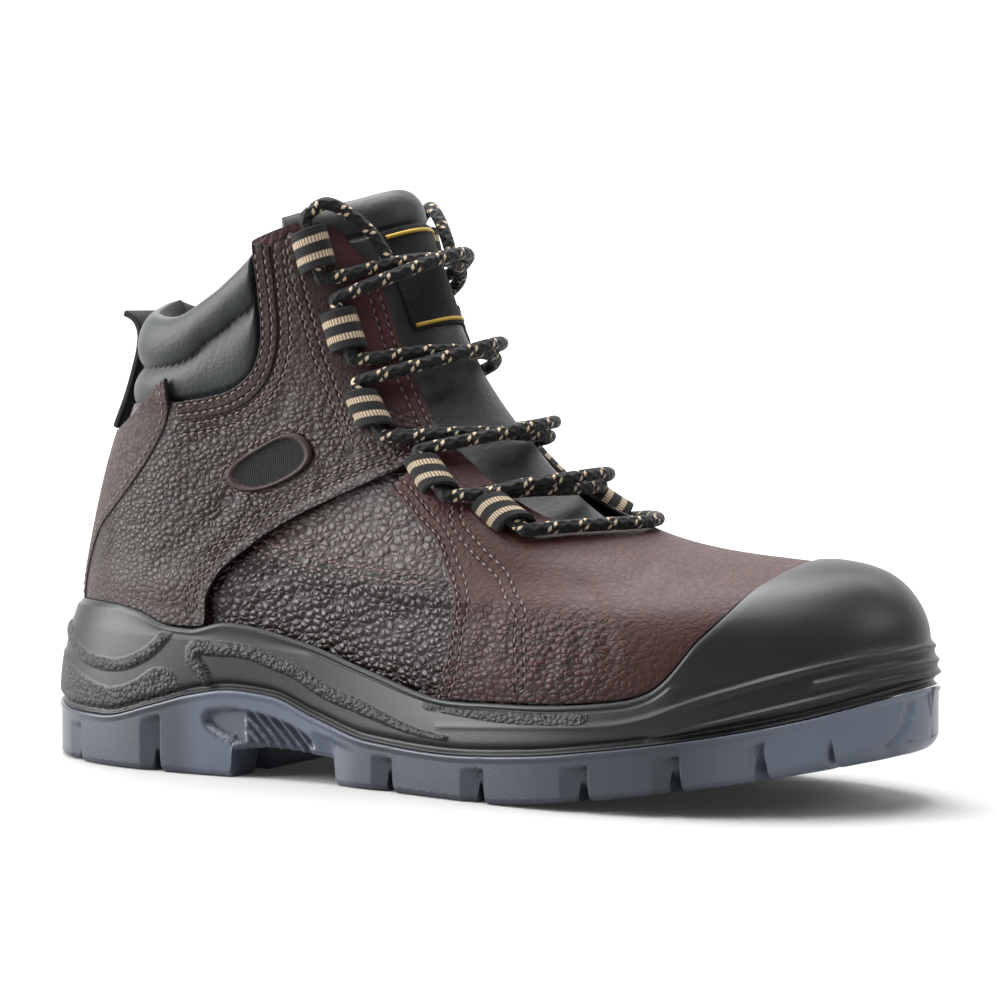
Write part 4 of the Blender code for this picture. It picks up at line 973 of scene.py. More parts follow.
# %% Quarters, facings and their sewing
QUARTER_GRID = (130, 112)
EDGE_SEAM_INSET, THROAT_SEAM_INSET = 5.6, 3.6
LOW_EDGE_SPAN, LOW_SEAM_SPAN, COLLAR_EDGE_SPAN = (0.37, 1.0), (0.385, 0.975), (0.30, 0.84)
FACING_GRID, FACING_WIDTH, FACING_MARGIN, FACING_LIFT, FACING_BASE = (150, 14), 6.2, 0.3, 0.55, 0.05
FACING_SEAM_INSET, COLLAR_SEAM_INSET = 2.9, 9.0
LIP_WIDTH, LIP_HEIGHT, LIP_SHARE = 3.0, 0.7, 0.55
QUARTER_GRAIN, FACING_GRAIN = 0.85, 0.8
HEEL_LOSS, HEEL_RINGS, HEEL_TURNS = 0.45, (4.6, 2.6), (0.34, 0.24)
COLLAR_LOSS, COLLAR_RINGS = 0.35, (7.0, 8.2)
EYESTAY_LOSS, EYESTAY_RINGS, EYESTAY_TURNS = 0.35, (6.6, 7.4), (0.62, 0.72)
THROAT_BLUSH, THROAT_RINGS, THROAT_TURNS = 0.55, (7.2, 7.8), (0.74, 0.82)
CROWN_BLUSH, CROWN_RINGS = 0.3, (9.55, 9.85)
EYESTAY_SEAM = path(
    [
        (9.80, 0.686), (9.36, 0.676), (8.93, 0.677), (8.45, 0.678), (7.97, 0.681), (7.64, 0.676),
        (7.35, 0.668), (7.05, 0.658),
    ]
)
SLACK = (
    Crease(5.60, 0.360, 6.50, 0.420, 3.0, 0.45), Crease(4.90, 0.300, 5.80, 0.380, 3.0, 0.40),
    Crease(7.40, 0.520, 8.10, 0.600, 3.0, 0.35), Crease(6.70, 0.640, 7.60, 0.660, 2.8, 0.35),
    Crease(3.40, 0.220, 4.60, 0.290, 4.0, 0.35), Crease(6.90, 0.320, 7.40, 0.420, 3.4, 0.40),
    Crease(6.20, 0.560, 6.90, 0.600, 2.6, 0.35),
)
quarter = panel_grid(QUARTER_LOW, QUARTER_TOP, *QUARTER_GRID)
quarter = along_side(quarter, BACKSTAY_SIDE, SIDE_FADE, QUARTER_BACKSTAY_GAP)
quarter = along_front(quarter, QUARTER_FRONT, FRONT_FADE)
low_edge = edge_path(QUARTER_LOW, *LOW_EDGE_SPAN)
low_seam = drawn_beside(edge_path(QUARTER_LOW, *LOW_SEAM_SPAN), EDGE_SEAM_INSET)
throat_seam = drawn_beside(path(QUARTER_FRONT[:5]), THROAT_SEAM_INSET)
collar_edge = edge_path(QUARTER_TOP, *COLLAR_EDGE_SPAN)
facing_seam, collar_seam, *facing_ends = (
    drawn_beside(collar_edge, -inset, 5)
    for inset in (FACING_SEAM_INSET, COLLAR_SEAM_INSET, FACING_WIDTH, FACING_MARGIN)
)
eyestay_turn = path([beside(EYESTAY_SEAM, TWIN_ROW)[0], beside(EYESTAY_SEAM, -TWIN_ROW)[0]])
lateral_lines = [low_seam, EYESTAY_SEAM, collar_seam, throat_seam, facing_seam, eyestay_turn]
facing = panel_grid(
    *(np.column_stack([np.linspace(0, 1, len(line)), line]) for line in facing_ends), *FACING_GRID
)


def quarter_height(t, a):
    """Lift of a quarter: its slack creases, and a rounded lip along its lower edge."""
    w = folded(a)
    lip = nearest(form(t, w), form(*low_edge.T))[0]
    return PANEL_LIFT + creased(t, w, SLACK) + LIP_HEIGHT * smooth(lip, LIP_WIDTH, LIP_SHARE * LIP_WIDTH)


t, a = quarter
grain = QUARTER_GRAIN - HEEL_LOSS * smooth(t, *HEEL_RINGS) * smooth(a, *HEEL_TURNS)
grain = grain - COLLAR_LOSS * smooth(t, *COLLAR_RINGS)
grain = grain - EYESTAY_LOSS * smooth(a, *EYESTAY_TURNS) * smooth(t, *EYESTAY_RINGS)
blush = THROAT_BLUSH * smooth(a, *THROAT_TURNS) * smooth(t, *THROAT_RINGS)
blush = blush + CROWN_BLUSH * smooth(t, *CROWN_RINGS)
for side_name, way in (("lateral", 1), ("medial", -1)):
    grid, strip = (quarter, facing) if way > 0 else (mirrored(quarter), mirrored(facing))
    lines = lateral_lines if way > 0 else [other_side(line) for line in lateral_lines]
    *seams, facing_line, turn_line = lines
    panel = add_shell(
        "quarter_panel_" + side_name, grid, quarter_height(*grid), PANEL_INNER_LIFT, [quarter_leather],
        "quarter_leather", ["quarter_" + side_name], seams, grain[:, ::way], blush[:, ::way],
    )
    round_edges(panel, 0.5)
    band = add_shell(
        "collar_facing_" + side_name, strip, PANEL_LIFT + FACING_LIFT, PANEL_LIFT + FACING_BASE,
        [facing_leather], "quarter_leather", [], [facing_line], FACING_GRAIN,
    )
    round_edges(band, 0.3)
    rows = sum([twin_rows(line, quarter_height) for line in seams], [])
    rows += twin_rows(facing_line, PANEL_LIFT + FACING_LIFT)
    rows += [sewn_row(turn_line, quarter_height)]
    add_stitches("quarter_stitches_" + side_name, rows, seam_thread)

# %% [markdown]
# The backstay is a brushed leather saddle over the heel seam, wide at the bottom and drawn out to two
# points under the collar.

# %% Backstay
STAY_GRID, STAY_SEAM_INSET, STAY_GRAIN = (45, 110), 2.2, 0.7
TIP_LIFT, TIP_RISE = 1.5, (7.45, 7.9)
s = np.linspace(0, 1, STAY_GRID[0])
v = np.linspace(0, 1, STAY_GRID[1])[:, None]
half_t = (1 - v) * BACKSTAY_FOOT + v * follow(BACKSTAY_TOP, s)[:, 0]
stay_t, stay_a = both_sides((half_t, s * follow(BACKSTAY_SIDE, half_t)[..., 0]))


def stay_height(t, _):
    """Lift of the backstay, which rides over the foot of the collar at its two tips."""
    return BACKSTAY_LIFT + TIP_LIFT * smooth(t, *TIP_RISE)


stay_side = drawn_beside(path(BACKSTAY_SIDE), STAY_SEAM_INSET, 5)
stay_rows = [sewn_row(line, stay_height) for line in (stay_side, stay_side * (1, -1))]
stay_lift = stay_height(stay_t, stay_a)
backstay = add_shell(
    "backstay_saddle", (stay_t, stay_a), stay_lift, stay_lift - (BACKSTAY_LIFT - PANEL_INNER_LIFT),
    [brushed_leather], "brushed_leather", ["backstay"], [], STAY_GRAIN,
)
round_edges(backstay, 0.5)
add_stitches("backstay_stitches", stay_rows, seam_thread)

# %% [markdown]
# The collar is foam under a coated knit. One sewn line parts it into a flat crescent below and a round
# roll above. The roll's section is drawn by an angle that goes from the sewn line over the top, so it
# closes in a smooth rim, and small puckers follow the sewing. A sewn seam runs up the middle of the back.
# Its front ends thin out and its lower edge carries a skirt, and both tuck in behind the quarters.

# %% Collar
COLLAR_COLUMNS, CRESCENT_ROWS, ROLL_ROWS = 120, 18, 40
# Rows of s and of the sewn line's share of the collar's height.
COLLAR_SEAM = (
    (0.00, 0.42), (0.40, 0.42), (0.50, 0.44), (0.58, 0.48), (0.66, 0.58), (0.80, 0.62), (0.90, 0.46),
    (0.96, 0.18), (1.00, 0.05),
)
SEAM_LEAST, SEAM_MOST, SEAM_PROUD = 0.05, 0.7, 0.25
ROLL_START, ROLL_END, ROLL_MIDDLE, ROLL_RADIUS = np.radians(-70.0), np.radians(86.0), -4.0, 5.6
CRESCENT_EDGE, CRESCENT_SWELL, CRESCENT_POWER = -1.6, 1.9, 0.8
PUCKER_PITCH, PUCKER, PUCKER_ROWS = 0.03, 0.06, 6.0
BACK_SEAM_HALF, BACK_SEAM_DEPTH = 0.012, 1.1
TUCK_COLUMNS, TUCK_TURN, TUCK_OUT, TUCK_IN, TUCK_BLEND = 10, 0.045, -4.0, -7.0, 0.3
SKIRT_ROWS, SKIRT_DROP, SKIRT_REACH, ROLL_REACH_LOSS, LEAST_PADDING = 4, 0.55, 0.3, 0.8, 0.2
s = np.linspace(0, 1, COLLAR_COLUMNS)
seam_share = np.clip(follow(COLLAR_SEAM, s)[:, 0], SEAM_LEAST, SEAM_MOST)
angle = np.linspace(ROLL_START, ROLL_END, ROLL_ROWS)[:, None]
low_v = np.linspace(0, 1, CRESCENT_ROWS, endpoint=False)[:, None]
roll_v = (np.sin(angle) - np.sin(ROLL_START)) / (np.sin(ROLL_END) - np.sin(ROLL_START))
height = np.concatenate([low_v * seam_share, seam_share + (1 - seam_share) * roll_v])
low, top = follow(PAD_LOW, s), follow(PAD_TOP, s)
half_t, half_a = (low[:, k] + (top[:, k] - low[:, k]) * height for k in (0, 1))
skirt = SKIRT_DROP * np.linspace(1, 0, SKIRT_ROWS, endpoint=False)[:, None]
half_t = np.concatenate([low[:, 0] - skirt, half_t])
half_a = np.concatenate([low[:, 1] + 0 * skirt, half_a])
tuck = np.linspace(0, 1, TUCK_COLUMNS + 1)[1:]
skirt_reach = np.linspace(SKIRT_REACH, 1, SKIRT_ROWS)[:, None]
reach = np.concatenate([skirt_reach, np.ones((CRESCENT_ROWS, 1)), 1 - ROLL_REACH_LOSS * roll_v**2])
half_t = np.concatenate([half_t, half_t[:, -1:] + 0 * tuck], 1)
half_a = np.concatenate([half_a, half_a[:, -1:] + TUCK_TURN * reach * tuck], 1)
collar_t, collar_a = both_sides((half_t, half_a))
tucked = smooth(np.concatenate([np.zeros(COLLAR_COLUMNS), tuck]), 0.0, TUCK_BLEND)
tucked = np.concatenate([tucked[:0:-1], tucked])

# %% Section of the collar
seam_row = SKIRT_ROWS + CRESCENT_ROWS
seam_lift = ROLL_MIDDLE + ROLL_RADIUS * np.cos(ROLL_START)
crescent = CRESCENT_EDGE + (seam_lift - CRESCENT_EDGE) * low_v
crescent = crescent + CRESCENT_SWELL * np.sin(np.pi * low_v) ** CRESCENT_POWER
roll = ROLL_RADIUS * np.cos(angle)
section_out = np.concatenate([TUCK_OUT + 0 * skirt, crescent, ROLL_MIDDLE + roll])
section_in = np.concatenate([np.full((seam_row, 1), ROLL_MIDDLE - roll[0]), ROLL_MIDDLE - roll])
row_place = np.arange(seam_row + ROLL_ROWS)[:, None] - seam_row
pucker = PUCKER * np.sin(2 * np.pi * collar_a / PUCKER_PITCH + 3 * np.sin(9 * collar_a))
pucker = pucker * np.exp(-((row_place / PUCKER_ROWS) ** 2))
back_seam = BACK_SEAM_DEPTH * np.exp(-((collar_a / BACK_SEAM_HALF) ** 2)) * (row_place > 0)
collar_out = section_out + pucker - back_seam
collar_out = collar_out + (np.minimum(collar_out, TUCK_OUT) - collar_out) * tucked
collar_in = section_in + (np.maximum(section_in, TUCK_IN) - section_in) * tucked
collar_in = np.minimum(collar_in, collar_out - LEAST_PADDING)
collar = add_wall(
    "collar_padding", lifted(collar_t, collar_a, collar_out), lifted(collar_t, collar_a, collar_in),
    [collar_cloth, lining_cloth], "collar_cloth", ["collar_pad"],
)
shown = slice(TUCK_COLUMNS, -TUCK_COLUMNS)
collar_line = path(np.stack([collar_t[seam_row, shown], collar_a[seam_row, shown]], -1)[::3])
add_stitches("collar_stitches", [sewn_row(collar_line, seam_lift + SEAM_PROUD)], dark_thread)

# %% [markdown]
# The tongue is padded knit, thickest at its rolled top. It tucks under both eyestays and swells through
# the throat, so its height is a bump across it that fades out towards the vamp.

# %% Tongue
TONGUE_BASE, TONGUE_TOP, TONGUE_DROP = 5.15, 9.95, -0.12
TONGUE_HALF_LOW, TONGUE_HALF_TOP, TONGUE_SHOWN = 0.165, 0.34, 0.39
TONGUE_CORNER, CORNER_START = 0.04, 0.6
TOP_ROLL, ROLL_SWELL, ROLL_POWER, ROLL_SEAM, ROLL_SEAM_HALF, ROLL_OVER = 0.925, 1.0, 0.7, 0.9, 0.006, 0.045
TONGUE_TUCK, TONGUE_SWELL, SWELL_POWER, SWELL_START, SWELL_RAMP = -4.6, 3.4, 1.5, 5.9, 1.2
# Rows of the height v and of the padding's thickness there.
TONGUE_PADDING = ((0.00, 3.0), (0.30, 3.0), (0.70, 6.5), (0.84, 6.5), (0.92, 8.0), (1.00, 6.0))
TONGUE_LEAST, TONGUE_THINNING = 0.6, 0.5
TONGUE_ROWS, TONGUE_COLUMNS, TIP_ROWS, TIP_SHARE, TIP_POWER = 110, 100, 50, 0.1, 1.5


def tongue_lift(t, c):
    """Lift of the tongue's face: tucked under the eyestays at its sides, swelling through the throat."""
    swell = np.clip(1 - (c / TONGUE_SHOWN) ** 2, 0, 1) ** SWELL_POWER
    return TONGUE_TUCK + TONGUE_SWELL * swell * np.clip((t - SWELL_START) / SWELL_RAMP, 0, 1)


def tongue_place(v, c):
    """Ring and turn of the tongue at height v (0 to 1) and across c (-1 to 1)."""
    corner = TONGUE_CORNER * np.clip((np.abs(c) - CORNER_START) / (1 - CORNER_START), 0, 1) ** 2
    t = TONGUE_BASE + (TONGUE_TOP - TONGUE_DROP * c**2 - corner - TONGUE_BASE) * v
    half = TONGUE_HALF_LOW + (TONGUE_HALF_TOP - TONGUE_HALF_LOW) * np.clip(2 * v, 0, 1)
    return t, 1 + half * c


tip = 1 - TIP_SHARE * np.linspace(1, 0, TIP_ROWS)[1:] ** TIP_POWER
v = np.concatenate([np.linspace(0, 1 - TIP_SHARE, TONGUE_ROWS), tip])[:, None]
c = np.linspace(-1, 1, TONGUE_COLUMNS)
tongue_t, tongue_a = tongue_place(v, c)
face = tongue_lift(tongue_t, c)
face = face + ROLL_SWELL * np.sin(np.pi * np.clip((v - TOP_ROLL) / (1 - TOP_ROLL), 0, 1)) ** ROLL_POWER
face = face - ROLL_SEAM * np.exp(-(((v - TOP_ROLL) / ROLL_SEAM_HALF) ** 2))
half_padding = follow(TONGUE_PADDING, v)[..., 0] * (1 - TONGUE_THINNING * c**2) / 2
roll = np.sqrt(1 - (1 - np.clip((1 - v) / ROLL_OVER, 0, 1)) ** 2)
inner = face - half_padding - half_padding * roll
outer = np.maximum(face - half_padding + half_padding * roll, inner + TONGUE_LEAST)
tongue = add_wall(
    "tongue_padding", lifted(tongue_t, tongue_a, outer), lifted(tongue_t, tongue_a, inner),
    [tongue_cloth], "collar_cloth", ["tongue"],
)

# %% [markdown]
# The label is a woven patch on the tongue, left bare, with one gilt line near its lower and its upper
# end. A line is a thin round tube: a ring of points carried along a path without twist. The lace is made
# the same way.

# %% Label and its lines
LABEL_SPAN, LABEL_HALF, LABEL_THICKNESS = (0.70, 0.92), 0.32, 0.7
LABEL_WIDTH_MM, LABEL_HEIGHT_MM, LABEL_ROWS, LABEL_COLUMNS = 30, 160, 40, 50
GILT_INSET, GILT_SHARE, GILT_RADIUS, GILT_RINGS, GILT_SIDES = 0.012, 0.94, 0.7, 60, 8
v = np.linspace(*LABEL_SPAN, LABEL_ROWS)[:, None]
c = np.linspace(-LABEL_HALF, LABEL_HALF, LABEL_COLUMNS)
label_t, label_a = tongue_place(v, c)
base = tongue_lift(label_t, c) + CLEARANCE
label = add_wall(
    "tongue_label_patch", lifted(label_t, label_a, base + LABEL_THICKNESS), lifted(label_t, label_a, base),
    [plain_webbing], "black_webbing", ["tongue_label"],
    {"across": c * LABEL_WIDTH_MM, "along": v * LABEL_HEIGHT_MM},
)
round_edges(label, 0.25)


def cord_tube(name, line, radius, sides, finishes, nodes=()):
    """Round tube along a line of points, its rings carried along without twist. The map is turns and mm."""
    ahead = unit(np.gradient(line, axis=0))
    side = np.cross(ahead[0], (0, 1, 0))
    across = []
    for forward in ahead:
        side = unit(side - forward * (side @ forward))
        across.append(side)
    turn = (np.arange(sides) * 2 * np.pi / sides)[None, :, None]
    other = np.cross(ahead, across)[:, None]
    rings = line[:, None] + radius * (np.cos(turn) * np.array(across)[:, None] + np.sin(turn) * other)
    run = run_along(line)
    u, low, high = np.arange(sides) / sides, run[:-1, None], run[1:, None]
    corners = ((u, low), (u + 1 / sides, low), (u + 1 / sides, high), (u, high))
    corners = np.stack([np.stack(np.broadcast_arrays(*corner), -1) for corner in corners], 2).reshape(-1, 2)
    fans = end_fans(len(line) * sides, sides)
    points = np.concatenate([rings.reshape(-1, 3), line[:1], line[-1:]])
    faces = [grid_quads(len(line), sides, True).reshape(-1, 4), fans]
    corners = np.concatenate([corners, np.zeros((fans.size, 2))])
    return add_piece(name, points, faces, finishes, nodes, corners=corners)


c = np.linspace(-GILT_SHARE * LABEL_HALF, GILT_SHARE * LABEL_HALF, GILT_RINGS)
for end, v in (("low", LABEL_SPAN[0] + GILT_INSET), ("high", LABEL_SPAN[1] - GILT_INSET)):
    t, a = tongue_place(v, c)
    line = lifted(t, a, tongue_lift(t, c) + CLEARANCE + LABEL_THICKNESS)
    cord_tube("label_edge_" + end, line, GILT_RADIUS, GILT_SIDES, [gilt_edge])

# %% [markdown]
# The side badge is a bare oval patch: a woven black field in a raised leather border, with one row of
# sewing round it. A square grid is drawn out to the oval, so it has no pole.

# %% Badge
BADGE_MIDDLE, BADGE_TIP = (6.75, 0.490), (7.17, 0.582)
BADGE_HALF_WIDTH, BADGE_HALF_LENGTH, BADGE_STEPS = 6.4, 17, 60
BADGE_BASE, BADGE_FIELD, BADGE_BORDER, BADGE_POWER = 0.55, 1.3, 2.0, 2.6
BORDER_START, BORDER_SPAN, BORDER_MIDDLE, BORDER_HALF = 0.82, (0.80, 0.86), 0.92, 0.12
EDGE_DROP, EDGE_DROP_SPAN = 0.5, (0.95, 1.0)
SEWN_LONG, SEWN_WIDE = 1.09, 1.24
up, around = (np.linalg.norm(slope) for slope in slopes(*BADGE_MIDDLE))
along = np.array([(BADGE_TIP[0] - BADGE_MIDDLE[0]) * up, (BADGE_TIP[1] - BADGE_MIDDLE[1]) * around])
across = np.array([-along[1], along[0]]) * BADGE_HALF_WIDTH / np.linalg.norm(along)


def badge_place(p, q):
    """Place on the form of p along and q across the oval, where 1 is its edge."""
    t = BADGE_MIDDLE[0] + (p * along[0] - q * across[0]) / up
    return t, BADGE_MIDDLE[1] + (p * along[1] - q * across[1]) / around


def squared(bearing):
    """How much further out the badge's edge is than a circle: it is an oval with full corners."""
    sides = np.abs([np.cos(bearing), np.sin(bearing)]) ** BADGE_POWER
    return sides.sum(0) ** (-1 / BADGE_POWER)


p, q = np.meshgrid(np.linspace(-1, 1, BADGE_STEPS), np.linspace(-1, 1, BADGE_STEPS))
p, q = p * np.sqrt(1 - q**2 / 2), q * np.sqrt(1 - p**2 / 2)
radius = np.hypot(p, q)
corner = squared(np.arctan2(q, p))
p, q = p * corner, q * corner
place = badge_place(p, q)
across_border = (radius - BORDER_MIDDLE) / BORDER_HALF
rise = smooth(radius, *BORDER_SPAN) * np.sqrt(np.clip(1 - across_border**2, 0, 1))
badge_lift = BADGE_FIELD + (BADGE_BORDER - BADGE_FIELD) * rise - EDGE_DROP * smooth(radius, *EDGE_DROP_SPAN)
badge = add_wall(
    "side_badge_patch", lifted(*place, badge_lift), lifted(*place, BADGE_BASE),
    [plain_webbing, quarter_leather], "black_webbing", ["side_badge"],
    {"across": q * BADGE_HALF_WIDTH, "along": p * BADGE_HALF_LENGTH, "pebble": 0.0, "twin": FAR, "edge": FAR},
    radius > BORDER_START,
)
angle = np.linspace(0, 2 * np.pi, BADGE_STEPS)
out = squared(angle)
badge_ring = np.stack(badge_place(SEWN_LONG * out * np.cos(angle), SEWN_WIDE * out * np.sin(angle)), -1)
add_stitches("badge_stitches", [sewn_row(path(badge_ring), quarter_height)], seam_thread)

# %% [markdown]
# The pull loop and the ten lace loops are straps. Each lace loop is an arch: its section is carried along
# the boot for the width of the webbing, and every point of it stands on the form below.

# %% Straps
# Rows of x and z along the middle of the strap.
PULL_ROUTE = np.array(
    [
        (20.0, 108.5), (21.5, 112.0), (23.8, 117.0), (26.1, 123.0), (28.4, 130.0), (30.0, 136.5),
        (29.8, 141.5), (27.4, 145.0), (23.8, 146.6),
    ]
)
PULL_WIDTH, PULL_THICKNESS, PULL_STEPS, PULL_COLUMNS = 18.0, 2.2, 70, 26
gone = run_along(PULL_ROUTE)
at = np.linspace(0, gone[-1], PULL_STEPS)
fine = cubic(gone, PULL_ROUTE, at)
forward = np.gradient(fine, axis=0)
outward = unit(np.stack([-forward[:, 1], forward[:, 0]], -1)) * PULL_THICKNESS / 2
y = np.linspace(1, -1, PULL_COLUMNS) * PULL_WIDTH / 2


def strap_face(line):
    """A line in the middle plane carried across the width of the strap."""
    return np.stack(np.broadcast_arrays(line[:, :1], y, line[:, 1:]), -1)


pull = add_wall(
    "pull_strap", strap_face(fine + outward), strap_face(fine - outward), [plain_webbing], "black_webbing",
    ["pull_loop"], {"across": y, "along": at[:, None]},
)
round_edges(pull, 0.7, 3)

# %% Lace loops
Loop = namedtuple("Loop", "t w")
LOOPS = (Loop(5.93, 0.831), Loop(6.63, 0.779), Loop(7.59, 0.737), Loop(8.66, 0.748), Loop(9.60, 0.732))
LOOP_WIDTH, LOOP_STEPS, LOOP_COLUMNS = 13.0, 40, 24
# Rows of the place across the loop and of the height over the leather.
LOOP_OUTSIDE = ((5.2, 0.4), (5.1, 3.7), (3.7, 6.4), (0.0, 7.6), (-3.3, 6.2), (-5.7, 2.4), (-6.5, 0.4))
LOOP_INSIDE = ((3.9, 0.4), (3.8, 3.2), (2.8, 5.1), (0.0, 6.2), (-2.5, 4.9), (-4.5, 1.7), (-4.9, 0.4))


def arch_curve(rows):
    """Even steps along the smooth line through rows, and the distance gone at each."""
    rows = np.array(rows)
    run = run_along(rows)
    at = np.linspace(0, run[-1], LOOP_STEPS)
    return cubic(run, rows, at), at


outside, outside_run = arch_curve(LOOP_OUTSIDE)
inside, _ = arch_curve(LOOP_INSIDE)
y = np.linspace(-0.5, 0.5, LOOP_COLUMNS) * LOOP_WIDTH
for way, name in ((1, "lateral"), (-1, "medial")):
    for number, loop in enumerate(LOOPS, start=1):
        middle = loop.w if way > 0 else 2 - loop.w
        up, around = (np.linalg.norm(slope) for slope in slopes(loop.t, middle))
        faces = [
            lifted(loop.t + way * y / up, middle + way * curve[:, :1] / around, PANEL_LIFT + curve[:, 1:])
            for curve in (outside, inside)
        ]
        piece = add_wall(
            f"webbing_loop_{name}_{number}", *faces, [loop_webbing], "black_webbing",
            [f"lace_loop_{name}_{number}"], {"across": y, "along": outside_run[:, None]},
        )
        round_edges(piece, 0.4)

# %% [markdown]
# The lace is a round braided cord. Its route repeats the boot's own places: down from the lateral top
# loop, criss-cross to the bar over the vamp, and up again, one strand over the other at each crossing.
# The ends turn over the top loops and go down inside.

# %% Lace
LACE_RADIUS, LACE_LIFT, LOOP_MOUTH = 2.1, 2.9, 3.0
LACE_RINGS, LACE_SIDES = 1100, 12
Crossing = namedtuple("Crossing", "a under over")
CROSSING = (Crossing(0.88, 3.6, 6.6), Crossing(1.00, 2.5, 8.0), Crossing(1.12, 3.6, 6.6))
Route = namedtuple("Route", "t a lift")
LACE_END = (
    Route(9.22, 0.872, 2.8), Route(9.45, 0.862, 3.2), Route(9.75, 0.830, 3.8), Route(9.98, 0.775, 4.2),
)
BOTTOM_BAR = (Route(5.56, 0.880, 3.6), Route(5.47, 1.000, 3.4), Route(5.56, 1.120, 3.6))


def lace_route():
    """Places that the lace passes: down from the lateral top loop, round the lowest bar and up again."""
    rows = range(len(LOOPS))
    downward = [(k % 2 == 0, k, 1) for k in rows[::-1]]
    upward = [(k % 2 == 1, k, -1) for k in rows]
    route = list(LACE_END)
    for lateral, k, way in downward + upward:
        loop = LOOPS[k]
        a = loop.w if lateral else 2 - loop.w
        reach = (LOOP_WIDTH / 2 + LOOP_MOUTH) / np.linalg.norm(slopes(loop.t, a)[0])
        passes = [Route(loop.t + reach * f, a, PANEL_LIFT + LACE_LIFT) for f in (way, 0, -way)]
        if route[-1] == LACE_END[-1]:
            route += passes
            continue
        if (k, way) == (0, -1):
            route += BOTTOM_BAR + tuple(passes)
            continue
        before, after = route[-1], passes[0]
        over = (k + (way < 0)) % 2 == (way < 0)
        for place in CROSSING if before.a < 1 else CROSSING[::-1]:
            share = (place.a - before.a) / (after.a - before.a)
            t = before.t + (after.t - before.t) * share
            route.append(Route(t, place.a, place.over if over else place.under))
        route += passes
    route += [Route(row.t, 2 - row.a, row.lift) for row in LACE_END[::-1]]
    return np.array(route)


places = lace_route()
gone = run_along(lifted(*places.T))
lace_line = lifted(*follow(np.column_stack([gone, places]), np.linspace(0, gone[-1], LACE_RINGS)).T)
cord_tube("braided_lace", lace_line, LACE_RADIUS, LACE_SIDES, [lace_cord], ["lace"])
print("lace length", round(float(run_along(lace_line)[-1])), "mm")

# %% [markdown]
# The sole's outline stands out past the upper by a welt. Places on its side are given by the distance
# round the outline from the back of the heel and by the height above the floor, the way a mould maker
# would draw them.

# %% Outline of the sole
Welt = namedtuple("Welt", "w lateral medial")
WELT = (
    Welt(0.00, 9.8, 9.8), Welt(0.16, 5.6, 5.6), Welt(0.40, 2.5, 2.0), Welt(0.64, 2.5, 2.5),
    Welt(0.82, 4.4, 4.4), Welt(1.00, 7.0, 7.0),
)
# Rows of x, the height of the joint of the two soles and the height of the plate over the lugs.
JOINTS = (
    (-5, 19.0, 7.0), (20, 16.6, 6.0), (36, 16.6, 6.0), (58, 21.5, 6.0),
    (73, 25.6, 6.5), (88, 27.8, 8.5), (103, 26.6, 10.0), (119, 21.0, 9.0),
    (141, 15.2, 6.0), (170, 13.8, 5.0), (200, 15.6, 5.5), (227, 18.9, 9.0),
    (257, 23.6, 14.0), (282, 28.9, 18.5), (310, 37.5, 24.0),
)
TOE_SPRING_START, TOE_SPRING, TOE_SPRING_END, TOE_SPRING_POWER = 190.0, 17.5, 306.0, 1.25


def plan_normal(a, step=1e-3):
    """Outward direction in plan of the form's widest ring."""
    along = (form(1.0, a + step) - form(1.0, a - step))[..., :2]
    return unit(np.stack([along[..., 1], -along[..., 0]], -1))


def welt(a):
    """Millimetres that the sole stands out past the upper."""
    lateral = [(row.w, row.lateral) for row in WELT]
    medial = [(2 - row.w, row.medial) for row in WELT[-2::-1]]
    table = np.array(lateral + medial)
    tiled = np.concatenate([table[:-1] - (2, 0), table, table[1:] + (2, 0)])
    return cubic(tiled[:, 0], tiled[:, 1:], np.mod(a, 2))[..., 0]


def outline(a, inset=0.0):
    """Plan outline of the sole, or a line inset from it."""
    return form(1.0, a)[..., :2] + (welt(a) - inset)[..., None] * plan_normal(a)


def joint_height(x):
    return follow(JOINTS, x)[..., 0]


def plate_height(x):
    return follow(JOINTS, x)[..., 1]


def tread_height(x):
    """Underside of the lugs: on the floor from heel to ball, then up with the toe spring."""
    ahead = np.clip(x - TOE_SPRING_START, 0, None) / (TOE_SPRING_END - TOE_SPRING_START)
    return TOE_SPRING * ahead**TOE_SPRING_POWER


FINE_TURNS = np.linspace(0, 2, 4001)
FINE_OUTLINE = outline(FINE_TURNS)
FINE_RUN = run_along(FINE_OUTLINE)
LATERAL_RUN = FINE_RUN[len(FINE_RUN) // 2]
MEDIAL_RUN = FINE_RUN[-1] - LATERAL_RUN


def heel_run(a):
    """Distance round the outline from the heel, the same number at like places on both sides."""
    run = np.interp(np.mod(a, 2), FINE_TURNS, FINE_RUN)
    return np.where(run <= LATERAL_RUN, run, (FINE_RUN[-1] - run) * LATERAL_RUN / MEDIAL_RUN)


print("outline:", round(float(FINE_RUN[-1])), "mm round")

# %% [markdown]
# The midsole's side is moulded: a textured band hangs like a smile under a smooth pod at the heel, a
# hooked rib runs down the waist, a gritty strip follows the rim at the ball, and ridges wrap the toe.
# Each is a line in distance round and height, with a half width and a height of relief.

